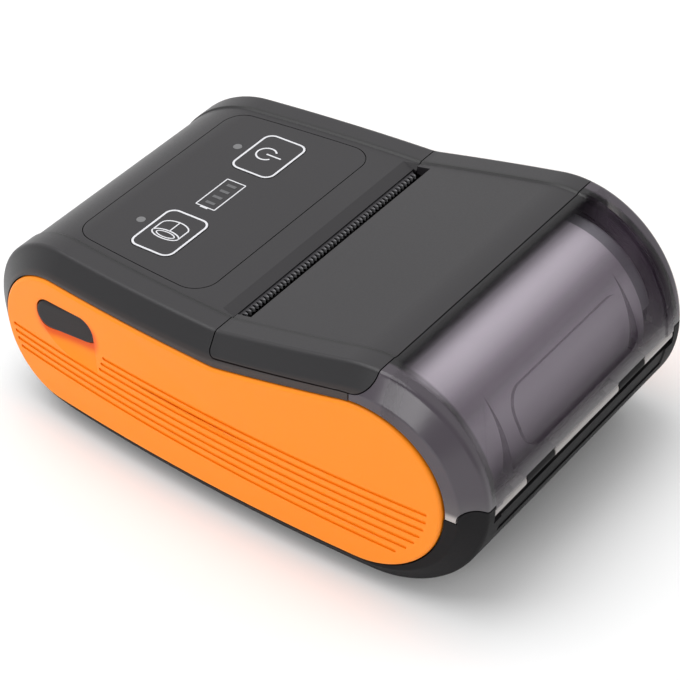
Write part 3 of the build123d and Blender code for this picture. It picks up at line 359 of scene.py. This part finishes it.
def moulded(name, dark, light, roughness, **constants):
    """Moulded plastic: a fine even grain, a little drift in tone, and a soft sheen."""
    made = Finish(name, Roughness=roughness, **constants)
    drift = made.noise(tone_drift_scale, tone_drift_detail)
    made.tone = made.blend_colours(drift, dark, light)
    made.drive("Base Color", made.tone)
    fine = made.noise(grain_scale, grain_detail)
    made.drive("Roughness", fine * gloss_spread + (roughness - gloss_spread / 2))
    made.relief(fine, grain_strength, grain_depth)
    return made


print("grain is", grain_depth / mm, "mm deep")

# %% [markdown]
# Charcoal case
#
# The upper shells, the panel and the keys are one charcoal plastic, nearly black with a trace of
# violet. Three things vary over the shells, and all are painted light: the long bevel turns away from
# the light and gets a darker painted shade, the narrow rim below it gets a painted warm-brown
# reflection of the coloured panel, and the groove beside the rails gets a painted shade. All follow
# the bowed sides, so the finish first makes the bow straight and then uses plain distances from the
# middle.

# %% Places, painted shade and painted reflection on the charcoal shells
bow_radius = 480.0 * mm
widest_y = 15.0 * mm
bevel_from = 36.2 * mm
bevel_to = 37.2 * mm
rim_from = 39.0 * mm
rim_to = 39.5 * mm
groove_at = 31.8 * mm
groove_half = 1.0 * mm
# Painted shade on the bevel and in the groove, and a painted orange reflection on the rim.
bevel_shade = (0.0055, 0.005, 0.0064, 1)
rim_orange_reflection = (0.02, 0.0135, 0.0128, 1)
groove_shade = (0.003, 0.0027, 0.0032, 1)
charcoal_dark = (0.012, 0.0105, 0.0128, 1)
charcoal_light = (0.016, 0.0142, 0.0168, 1)
print("bevel from", round(bevel_from / mm, 1), "mm and rim from", round(rim_from / mm, 1), "mm")

# %% Charcoal
charcoal = moulded("charcoal_case", charcoal_dark, charcoal_light, 0.4)
behind_widest = charcoal.along("Y") - widest_y
bow = behind_widest * behind_widest * (0.5 / bow_radius)
from_middle = charcoal.along("X").size() + bow
on_bevel = charcoal.ramp_between(from_middle, bevel_from, bevel_to)
on_rim = charcoal.ramp_between(from_middle, rim_from, rim_to)
# The bevel is painted darker, as shade where it turns away from the light.
shell_tone = charcoal.blend_colours(on_bevel, charcoal.tone, bevel_shade)
# The rim is painted warm, as the orange panel's reflection.
shell_tone = charcoal.blend_colours(on_rim, shell_tone, rim_orange_reflection)
# Painted shade in the groove beside the rails.
in_groove = 1 - charcoal.ramp_between((from_middle - groove_at).size(), 0.0, groove_half)
charcoal.drive("Base Color", charcoal.blend_colours(in_groove, shell_tone, groove_shade))
wear(charcoal, "front_cover", "lid_plate")

key_charcoal = moulded("key_charcoal", charcoal_dark, charcoal_light, 0.4)
wear(key_charcoal, "control_panel", "power_key", "feed_key")

# %% [markdown]
# Lower shell and button
#
# The tray is moulded duller than the top, since it is what gets scuffed. Its shine is turned down, and
# its tone is darkened as painted shade, so that it stays dark under the bright sides of the tent. The
# button is a separate soft black moulding, a little warmer than the case.

# %% Tray and button
# The tray's tones are darker than the top's: painted shade.
tray_dark = (0.0085, 0.008, 0.0088, 1)
tray_light = (0.0115, 0.0108, 0.0118, 1)
matt_charcoal = moulded("matt_charcoal", tray_dark, tray_light, 0.6, Specular_IOR_Level=0.12)
wear(matt_charcoal, "lower_shell", "battery_cover")

button_dark = (0.02, 0.0175, 0.018, 1)
button_light = (0.025, 0.022, 0.023, 1)
button_black = moulded("button_black", button_dark, button_light, 0.55, Specular_IOR_Level=0.25)
wear(button_black, "release_button")

# %% [markdown]
# Orange panels
#
# The panels are the one bright colour: a saturated orange plastic with little shine of its own. Round
# the button the dish turns deep red-orange, because the plastic there mostly lights itself. Bounced
# light alone shows that too faintly, so the finish paints that shade in: it deepens the tone by the
# distance to the button's outline, moved a little down and back, which puts the painted shade where
# the light is shut off.

# %% Orange plastic
orange_dark = (0.9, 0.24, 0.004, 1)
orange_light = (0.96, 0.262, 0.006, 1)
# A deep red-orange for the painted shade round the button.
dish_shade_tone = (0.8, 0.095, 0.001, 1)
orange = moulded("orange_panel", orange_dark, orange_light, 0.42, Specular_IOR_Level=0.3)
print("orange drifts from", orange_dark[:3], "to", orange_light[:3])

# %% Painted shade in the dish of the button
button_low, button_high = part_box("release_button")
button_half_length = 4.5 * mm
button_half_height = 3.55 * mm
button_slope = math.radians(4.0)
shade_shift = (0.35 * mm, -0.75 * mm)
shade_overlap = 0.3 * mm
shade_reach = 1.5 * mm
middle_half = 1 * mm

from_button_y = orange.along("Y") - (button_low[1] + button_high[1]) / 2
from_button_z = orange.along("Z") - (button_low[2] + button_high[2]) / 2
button_along = from_button_y * math.cos(button_slope) + from_button_z * math.sin(button_slope)
button_across = from_button_z * math.cos(button_slope) - from_button_y * math.sin(button_slope)
past_end = ((button_along - shade_shift[0]).size() - button_half_length).above(0.0)
beside = button_across - shade_shift[1]
to_outline = (past_end * past_end + beside * beside).root() - button_half_height
# Painted shade: the orange deepens towards the lower and back edge of the button.
dish_shade = 1 - orange.ramp_between(to_outline, -shade_overlap, shade_reach)
button_side = orange.ramp_between(orange.along("X"), -middle_half, middle_half)
orange.drive("Base Color", orange.blend_colours(dish_shade * button_side, orange.tone, dish_shade_tone))
wear(orange, "side_panel_right", "side_panel_left")

# %% [markdown]
# Smoky window
#
# The rear half of the lid is clear plastic with a violet smoke in it, and the white roll shines
# through. Real glass would need many light bounces and would come out black, so the window is a thin
# tinted skin instead: its Alpha says how much of the skin is seen. The skin's opacity is written as a
# list of places along the printer with an opacity each: nearly solid at the seam, where it paints the
# lid's shadow on the roll, clear over the roll, and more solid again in the dish, where it paints
# shade on the roll. It is close to solid along both rails, with a painted shadow line at the foot of
# each, and more solid towards the hinge, where the lip is and where it paints shade on the lower side
# of the roll.

# %% Tint and painted shade along the window
tint_start = 36.0
tint_end = 60.0
# Opacity by place: solid beside the seam as a painted shadow of the lid, and more solid in the dish as
# painted shade on the roll.
tint_and_shade_by_place = (
    (37.0, 0.97),
    (38.2, 0.62),
    (39.2, 0.08),
    (40.4, 0.0),
    (44.6, 0.17),
    (46.9, 0.23),
    (49.0, 0.38),
    (51.1, 0.46),
    (52.9, 0.28),
    (54.6, 0.23),
    (57.0, 0.3),
    (60.0, 0.3),
)
smoky = Finish("smoky_window", Roughness=0.2, IOR=1.5)
share = (smoky.along("Y") - tint_start * mm) * (1 / ((tint_end - tint_start) * mm))
tint_stops = []
for place, opacity in tint_and_shade_by_place:
    share_there = (place - tint_start) / (tint_end - tint_start)
    tint_stops.append((share_there, (opacity, opacity, opacity, 1)))
tint = smoky.node("ShaderNodeValToRGB", {"stops": tint_stops}, {0: share})
print("tint has", len(tint_stops), "places")

# %% Rails, lip and painted shadow of the window
rail_from = 32.7 * mm
rail_to = 33.8 * mm
rail_foot_x = 32.6 * mm
# The dark line at the foot of each rail is a painted shadow.
rail_shadow_core = 0.2 * mm
rail_shadow_half = 1.0 * mm
lip_from = 25 * mm
lip_to = 31 * mm
rail_opacity = 0.8
rail_shadow_opacity = 0.35
lip_and_shade_opacity = 0.55
glancing_opacity = 0.15
glancing_blend = 0.35

from_middle_plane = smoky.along("X").size()
rails = smoky.ramp_between(from_middle_plane, rail_from, rail_to)
# Towards the hinge the skin is more solid: the real lip, and painted shade on the lower side of the
# roll.
lip_and_lower_shade = 1 - smoky.ramp_between(smoky.along("Z"), lip_from, lip_to)
from_rail_foot = (from_middle_plane - rail_foot_x).size()
# Painted shadow line at the foot of each rail.
rail_shadow = 1 - smoky.ramp_between(from_rail_foot, rail_shadow_core, rail_shadow_half)
glancing = smoky.node("ShaderNodeLayerWeight", {}, {"Blend": glancing_blend}, "Facing")
solid_share = rails * rail_opacity + rail_shadow * rail_shadow_opacity + lip_and_lower_shade * lip_and_shade_opacity
smoky.drive("Alpha", solid_share + tint + glancing * glancing_opacity)
print("rails are", rail_opacity, "solid and the lip", lip_and_shade_opacity)

# %% [markdown]
# Tones of the window
#
# Where the skin is thin its own colour hardly counts, so one dark violet does over the roll. Where it
# is nearly solid the colour is what is seen: an almost black painted shadow at the seam and at the
# foot of each rail, a dull grey on the rails, and a lighter grey on the lip at the hinge, which is
# palest along its lowest edge. The soft ramps that set the opacity of the rails and the lip pick
# their tones too, so that the two stay together, and a faint ripple keeps the shine from being
# perfect.

# %% Colours of the skin
over_roll = (0.03, 0.014, 0.032, 1)
over_rails = (0.06, 0.05, 0.062, 1)
# Almost black, for the painted shadow beside the seam and at the foot of each rail.
painted_shadow_tone = (0.004, 0.0032, 0.0045, 1)
lip_tone = (0.085, 0.078, 0.085, 1)
hinge_edge_tone = (0.4, 0.37, 0.36, 1)
seam_shade = (38.4 * mm, 40.4 * mm)
hinge_edge_height = (24.6 * mm, 26.0 * mm)
ripple_scale = 1800.0
ripple_strength = 0.03
ripple_depth = 0.01 * mm

# Painted shadow of the lid's edge beside the seam.
lid_shadow = 1 - smoky.ramp_between(smoky.along("Y"), *seam_shade)
upper_tone = smoky.blend_colours(lid_shadow, over_roll, painted_shadow_tone)
upper_tone = smoky.blend_colours(rails, upper_tone, over_rails)
upper_tone = smoky.blend_colours(rail_shadow, upper_tone, painted_shadow_tone)
hinge_edge = 1 - smoky.ramp_between(smoky.along("Z"), *hinge_edge_height)
lower_tone = smoky.blend_colours(hinge_edge, lip_tone, hinge_edge_tone)
smoky.drive("Base Color", smoky.blend_colours(lip_and_lower_shade, upper_tone, lower_tone))
smoky.relief(smoky.noise(ripple_scale, grain_detail), ripple_strength, ripple_depth)
wear(smoky, "window_cover")

# %% [markdown]
# Inner plastics, rubber and paper
#
# Open the lid and the works show: a bin for the roll, bushes and a bracket for the roller, white
# gears and the roll itself. They are all moulded, pressed or wound, and the moulded recipe covers them
# with other tones and roughnesses. A table of name, dark tone, light tone, roughness and pieces says
# it all, and one loop makes the finishes.

# %% Inner plastics
switch_pieces = ("platen_bushes", "key_switches")
rubber_pieces = ("platen_roller", "rubber_feet")
gear_pieces = ("platen_gear", "idler_gear", "motor_pinion")
inner_dark = (0.012, 0.012, 0.013)
inner_light = (0.016, 0.016, 0.017)
plastics = (
    ("bin_grey", (0.05, 0.048, 0.053), (0.065, 0.062, 0.068), 0.4, ("paper_bin",)),
    ("inner_black", inner_dark, inner_light, 0.45, ("platen_bracket",)),
    ("bush_black", inner_dark, inner_light, 0.4, switch_pieces),
    ("roller_rubber", (0.012, 0.012, 0.012), (0.018, 0.018, 0.018), 0.8, rubber_pieces),
    ("gear_acetal", (0.7, 0.68, 0.6), (0.75, 0.73, 0.66), 0.4, gear_pieces),
    ("head_ceramic", (0.6, 0.6, 0.55), (0.65, 0.64, 0.6), 0.25, ("thermal_head",)),
    ("board_green", (0.01, 0.07, 0.03), (0.012, 0.09, 0.04), 0.35, ("main_board", "charging_board")),
    ("cell_wrap", (0.02, 0.05, 0.2), (0.03, 0.07, 0.25), 0.3, ("battery_pack",)),
    ("thermal_paper", (0.8, 0.72, 0.82), (0.86, 0.78, 0.88), 0.6, ("paper_roll",)),
    ("core_card", (0.35, 0.25, 0.16), (0.42, 0.31, 0.2), 0.8, ("paper_core",)),
    ("lamp_clear", (0.14, 0.14, 0.145), (0.17, 0.17, 0.175), 0.35, ("status_lights",)),
)
for name, dark, light, roughness, wearers in plastics:
    wear(moulded(name, (*dark, 1), (*light, 1), roughness), *wearers)

# %% [markdown]
# Steel and the blackened bar
#
# Shafts, springs, screws and the folded frame are plain steel: a metal shader with a grey tone, whose
# roughness wanders as it does on rolled sheet and turned bar. The bar that cuts the paper is
# blackened, and its teeth are worn bright at the tips, so its finish goes from dark to light over
# the last millimetre of the bar.

# %% Steel
steel_grain_scale = 900.0
steel_dark = (0.57, 0.57, 0.58, 1)
steel_light = (0.63, 0.63, 0.62, 1)
steel_smoothest = 0.22
steel_spread = 0.2

steel = Finish("plain_steel", Metallic=1.0)
steel_drift = steel.noise(steel_grain_scale)
steel.drive("Base Color", steel.blend_colours(steel_drift, steel_dark, steel_light))
steel.drive("Roughness", steel_drift * steel_spread + steel_smoothest)
wear(steel, "platen_shaft", "gear_axle", "motor_shaft", "case_screws", "hinge_pins", "head_springs")
wear(steel, "mechanism_frame", "stepper_motor", "charging_socket", "release_slider", "head_heat_sink")

# %% Blackened bar
worn_length = 0.9 * mm
blackened = (0.022, 0.02, 0.024, 1)
worn_bright = (0.2, 0.2, 0.21, 1)
bar_grain_scale = 1500.0
bar_smoothest = 0.32
bar_spread = 0.15

tip_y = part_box("tear_bar")[1][1]
tear_finish = Finish("blackened_bar")
tips = tear_finish.ramp_between(tear_finish.along("Y"), tip_y - worn_length, tip_y)
tear_finish.drive("Base Color", tear_finish.blend_colours(tips, blackened, worn_bright))
bar_drift = tear_finish.noise(bar_grain_scale)
tear_finish.drive("Roughness", bar_drift * bar_spread + bar_smoothest)
wear(tear_finish, "tear_bar")

# %% [markdown]
# Cheeks of the paper bin
#
# Beside each end of the roll stands a grey round cheek that keeps the paper square. Through the window
# it shows as a soft grey end of a cylinder. Each is a disc that is drawn as a circle, pushed out
# sideways and bevelled on its outer rim, and then cut flat at the height where it stands on the side
# wall of the bin. Turning a profile would give the same shape with more steps. At the end only the
# edges that turn sharply are marked sharp, so the rim shades as one soft curve.

# %% Sizes of the cheeks
roll_low, roll_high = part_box("paper_roll")
bin_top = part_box("paper_bin")[1][2]
roll_axis = ((roll_low[1] + roll_high[1]) / 2, (roll_low[2] + roll_high[2]) / 2)
cheek_radius = 19.3 * mm
cheek_segments = 96
cheek_clearance = 0.25 * mm
cheek_inner_x = roll_high[0] + cheek_clearance
cheek_outer_x = 33.1 * mm
cheek_rim = 1.6 * mm
cheek_rim_segments = 6
foot_gap = 0.02 * mm
cheek_foot = bin_top + foot_gap
print("cheeks are", round((cheek_outer_x - cheek_inner_x) / mm, 1), "mm wide beside the roll")

# %% Two round discs
cheeks = bmesh.new()
for side in (-1, 1):
    centre = Matrix.Translation((side * cheek_inner_x, *roll_axis))
    upright = centre @ Matrix.Rotation(math.radians(90), 4, "Y")
    disc = bmesh.ops.create_circle(
        cheeks, cap_ends=True, segments=cheek_segments, radius=cheek_radius, matrix=upright
    )
    pushed = bmesh.ops.extrude_face_region(cheeks, geom=disc["verts"][0].link_faces[:])["geom"]
    outer_corners = [part for part in pushed if isinstance(part, bmesh.types.BMVert)]
    outer_edges = [part for part in pushed if isinstance(part, bmesh.types.BMEdge)]
    push = (side * (cheek_outer_x - cheek_inner_x), 0, 0)
    bmesh.ops.translate(cheeks, verts=outer_corners, vec=push)
    bmesh.ops.bevel(
        cheeks,
        geom=outer_edges,
        offset=cheek_rim,
        segments=cheek_rim_segments,
        profile=0.5,
        affect="EDGES",
        material=-1,
    )
print("discs have", len(cheeks.faces), "faces")

# %% Flat feet
everything = cheeks.verts[:] + cheeks.edges[:] + cheeks.faces[:]
cut = bmesh.ops.bisect_plane(
    cheeks, geom=everything, plane_co=(0, 0, cheek_foot), plane_no=(0, 0, 1), clear_inner=True
)
cut_edges = [part for part in cut["geom_cut"] if isinstance(part, bmesh.types.BMEdge)]
bmesh.ops.holes_fill(cheeks, edges=cut_edges, sides=0)
bmesh.ops.recalc_face_normals(cheeks, faces=cheeks.faces[:])
open_edges = sum(edge.is_boundary for edge in cheeks.edges)
print("cheeks have", len(cheeks.faces), "faces and", open_edges, "open edges")

# %% Smooth rim, sharp corners
sharp_from = math.radians(35)
for face in cheeks.faces:
    face.smooth = True
for edge in cheeks.edges:
    edge.smooth = edge.calc_face_angle(0.0) < sharp_from
cheek_mesh = bpy.data.meshes.new("roll_cheeks")
cheeks.to_mesh(cheek_mesh)
cheeks.free()
cheek_dark = (0.34, 0.33, 0.37, 1)
cheek_light = (0.38, 0.37, 0.41, 1)
cheek_grey = moulded("cheek_grey", cheek_dark, cheek_light, 0.3)
cheek_mesh.materials.append(cheek_grey.material)
roll_cheeks = bpy.data.objects.new("roll_cheeks", cheek_mesh)
bpy.context.collection.objects.link(roll_cheeks)
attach(roll_cheeks, "base")
print("cheeks ride on base with", len(cheek_mesh.polygons), "faces")

# %% [markdown]
# Printed marks
#
# The panel carries white print: a rounded outline on each key with a sign inside it, and a battery
# outline with four soft bars between the keys. Print is a film of ink, so each mark is drawn flat,
# cut small enough to bend, laid on the panel by casting a ray down from every corner, and given a
# thickness of a few hundredths of a millimetre. A key's marks ride with the key.

# %% Surfaces to print on
def surface_of(name):
    """The faces of a modelled piece as a tree, for rays to hit."""
    copy = bmesh.new()
    copy.from_mesh(nodes[name].data)
    tree = BVHTree.FromBMesh(copy)
    copy.free()
    return tree


power_surface = surface_of("power_key")
feed_surface = surface_of("feed_key")
panel_surface = surface_of("control_panel")
print("print is laid on power_key, feed_key and control_panel")


# %% Flat shapes that marks are drawn with
corner_segments = 6
oval_segments = 36


def stretched(width, depth, centre):
    """Scales a shape of size one and moves it, all in millimetres."""
    place = Matrix.Translation((centre[0] * mm, centre[1] * mm, 0))
    return place @ Matrix.Diagonal((width * mm, depth * mm, 1, 1))


def rounded_plate(shape, width, depth, corner=0, centre=(0, 0)):
    """A flat rectangle with round corners, which returns its face."""
    size = stretched(width, depth, centre)
    made = bmesh.ops.create_grid(shape, x_segments=1, y_segments=1, size=0.5, matrix=size)
    face = made["verts"][0].link_faces[0]
    if corner:
        bmesh.ops.bevel(
            shape,
            geom=made["verts"],
            offset=corner * mm,
            segments=corner_segments,
            profile=0.5,
            affect="VERTICES",
            material=-1,
        )
        face = max(shape.faces, key=lambda f: len(f.verts))
    return face


def hollow(shape, face, stroke):
    """Turns a face into an outline of an even stroke."""
    bmesh.ops.inset_region(
        shape, faces=[face], thickness=stroke * mm, use_boundary=True, use_even_offset=True
    )
    bmesh.ops.delete(shape, geom=[face], context="FACES")


def oval_plate(shape, radius_x, radius_y, centre=(0, 0), segments=oval_segments):
    """A flat oval, which returns its face."""
    size = stretched(radius_x, radius_y, centre)
    made = bmesh.ops.create_circle(shape, cap_ends=True, segments=segments, radius=1, matrix=size)
    return made["verts"][0].link_faces[0]


print("marks are drawn with a rounded plate, an outline and an oval")


# %% Laying a mark on its surface
ink_thickness = 0.03 * mm
ink_lift = 0.015 * mm
cut_step = 0.9 * mm
mark_reach = 9 * mm
ray_height = 100 * mm
cut_tolerance = 1e-7
down = Vector((0, 0, -1))


def lay_print(name, shape, place, surface, finish, body):
    """Cuts a flat shape small, lays it on a surface and makes it a piece."""
    steps = int(mark_reach / cut_step)
    for axis in (Vector((1, 0, 0)), Vector((0, 1, 0))):
        for step in range(-steps, steps + 1):
            everything = shape.verts[:] + shape.edges[:] + shape.faces[:]
            bmesh.ops.bisect_plane(
                shape,
                geom=everything,
                plane_co=axis * step * cut_step,
                plane_no=axis,
                dist=cut_tolerance,
            )
    bmesh.ops.translate(shape, verts=shape.verts[:], vec=(*place, ray_height))
    for corner in shape.verts:
        landing = surface.ray_cast(corner.co, down)[0]
        corner.co.z = landing.z + ink_lift
    bmesh.ops.recalc_face_normals(shape, faces=shape.faces[:])
    for face in shape.faces:
        if face.normal.z < 0:
            face.normal_flip()
    bmesh.ops.solidify(shape, geom=shape.faces[:], thickness=-ink_thickness)
    bmesh.ops.recalc_face_normals(shape, faces=shape.faces[:])
    mesh = bpy.data.meshes.new(name)
    shape.to_mesh(mesh)
    shape.free()
    mesh.materials.append(finish.material)
    piece = bpy.data.objects.new(name, mesh)
    bpy.context.collection.objects.link(piece)
    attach(piece, body)
    print(name, "has", len(mesh.polygons), "faces")


print("print is", round(ink_thickness / mm, 2), "mm thick")

# %% [markdown]
# Inks
#
# Screen print lets a little of the dark film through, so a flat white would look pasted on. Each ink
# is a mix of two tones by a fine noise: a bright one for the outlines and signs, and a dull grey for
# the bars of the battery, which are printed thin so that they only just show.

# %% Two inks
ink_grain = 2500.0


def ink(name, thin, thick, roughness):
    """Printed ink that is thin in places."""
    made = Finish(name, Roughness=roughness)
    made.drive("Base Color", made.blend_colours(made.noise(ink_grain), thin, thick))
    print(name, "roughness", roughness)
    return made


white_ink = ink("white_ink", (0.55, 0.55, 0.58, 1), (0.85, 0.85, 0.88, 1), 0.55)
grey_ink = ink("grey_ink", (0.09, 0.09, 0.095, 1), (0.13, 0.13, 0.135, 1), 0.6)

# %% [markdown]
# Outlines on both keys
#
# A white line runs just inside the edge of each key, so that a finger finds it. It is a rounded plate
# that is hollowed by an inset, which keeps the stroke even round the corners; scaling a second plate
# down would thin it there.

# %% Middles of the keys
def middle_of(node):
    """Middle of a modelled piece, seen from above."""
    low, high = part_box(node)
    return ((low[0] + high[0]) / 2, (low[1] + high[1]) / 2)


power_middle = middle_of("power_key")
feed_middle = middle_of("feed_key")
print("keys are", round((feed_middle[0] - power_middle[0]) / mm, 1), "mm apart")

# %% Outlines on both keys
key_outline = (14.1, 10.3)
key_outline_corner = 2.2
key_stroke = 0.45

for name, place, surface, body in (
    ("power_key_outline", power_middle, power_surface, "power"),
    ("feed_key_outline", feed_middle, feed_surface, "feed"),
):
    outline = bmesh.new()
    hollow(outline, rounded_plate(outline, *key_outline, key_outline_corner), key_stroke)
    lay_print(name, outline, place, surface, white_ink, body)

# %% [markdown]
# Power sign
#
# The sign for power is a ring that is open at the top, with a bar standing in the gap. The ring is a
# hollowed circle whose faces are deleted over the angle of the gap, which leaves clean straight ends.

# %% Open ring with a bar in its gap
bar_length = 3.6
bar_rise = 1.9
ring_segments = 60
sign_stroke = 0.38
ring_centre = (-0.4, -1.0)
ring_radius = 2.3
gap_half_angle = math.radians(38)

ring = bmesh.new()
hollow(ring, oval_plate(ring, ring_radius, ring_radius, ring_centre, ring_segments), sign_stroke)
gap_faces = []
for face in ring.faces:
    arm = face.calc_center_median() - Vector((*ring_centre, 0)) * mm
    if abs(math.atan2(arm.x, arm.y)) < gap_half_angle:
        gap_faces.append(face)
bmesh.ops.delete(ring, geom=gap_faces, context="FACES")
rounded_plate(ring, sign_stroke, bar_length, 0, (ring_centre[0], ring_centre[1] + bar_rise))
lay_print("power_sign", ring, power_middle, power_surface, white_ink, "power")

# %% [markdown]
# Paper sign
#
# The feed key shows a roll lying on its side: two ovals for the near end and its core, half an oval
# for the far end, two straight sides and the edge of the paper. It is a line drawing, so each part is
# an outline of its own, and the half that the near end would hide is deleted.

# %% Sizes of the roll in the sign
roll_stroke = 0.3
core_stroke = 0.26
end_centre = (1.0, -0.35)
far_centre = (-1.9, -0.3)
end_half = (1.5, 3.35)
core_half = (0.95, 2.3)
far_half = (1.95, 3.35)
paper_edge_length = 3.3
paper_edge_centre = (-2.0, -0.35)
paper_edge_stroke = 0.28
print("roll sign is", round(2 * end_half[1], 1), "mm tall")

# %% Roll seen from its end
roll_sign = bmesh.new()
hollow(roll_sign, oval_plate(roll_sign, *end_half, end_centre), roll_stroke)
hollow(roll_sign, oval_plate(roll_sign, *core_half, end_centre), core_stroke)
before = set(roll_sign.faces)
hollow(roll_sign, oval_plate(roll_sign, *far_half, far_centre), roll_stroke)
near_half = []
for face in roll_sign.faces:
    if face not in before and face.calc_center_median().x > far_centre[0] * mm:
        near_half.append(face)
bmesh.ops.delete(roll_sign, geom=near_half, context="FACES")
side_length = end_centre[0] - far_centre[0]
side_x = (end_centre[0] + far_centre[0]) / 2
for side in (-1, 1):
    side_y = end_centre[1] + side * (end_half[1] - roll_stroke / 2)
    rounded_plate(roll_sign, side_length, roll_stroke, 0, (side_x, side_y))
rounded_plate(roll_sign, paper_edge_length, paper_edge_stroke, 0, paper_edge_centre)
lay_print("paper_sign", roll_sign, feed_middle, feed_surface, white_ink, "feed")

# %% [markdown]
# Battery sign
#
# Between the keys stands a battery: a box with a small knob at one end and four bars inside, which
# are lamps behind the film on the real one and dark while it is off. The box is white ink and the
# bars are the grey one, so they are two pieces, each with one finish.

# %% Battery outline
battery_shift = (0.15, 0.25)
battery_middle = (battery_shift[0] * mm, power_middle[1] + battery_shift[1] * mm)
battery_size = (10.6, 4.9)
battery_corner = 0.3
battery_stroke = 0.27
knob_size = (0.35, 1.8)
knob_shift = (0.15, -0.1)
knob_centre = (battery_size[0] / 2 + knob_shift[0], knob_shift[1])

battery_sign = bmesh.new()
hollow(battery_sign, rounded_plate(battery_sign, *battery_size, battery_corner), battery_stroke)
rounded_plate(battery_sign, *knob_size, 0, knob_centre)
lay_print("battery_sign", battery_sign, battery_middle, panel_surface, white_ink, "base")

# %% Four bars
charge_bar_size = (0.8, 2.2)
charge_bar_spacing = 2.31
charge_bar_steps = (-1.5, -0.5, 0.5, 1.5)

charge_bars = bmesh.new()
for step in charge_bar_steps:
    rounded_plate(charge_bars, *charge_bar_size, 0, (step * charge_bar_spacing, 0))
lay_print("battery_bars", charge_bars, battery_middle, panel_surface, grey_ink, "base")
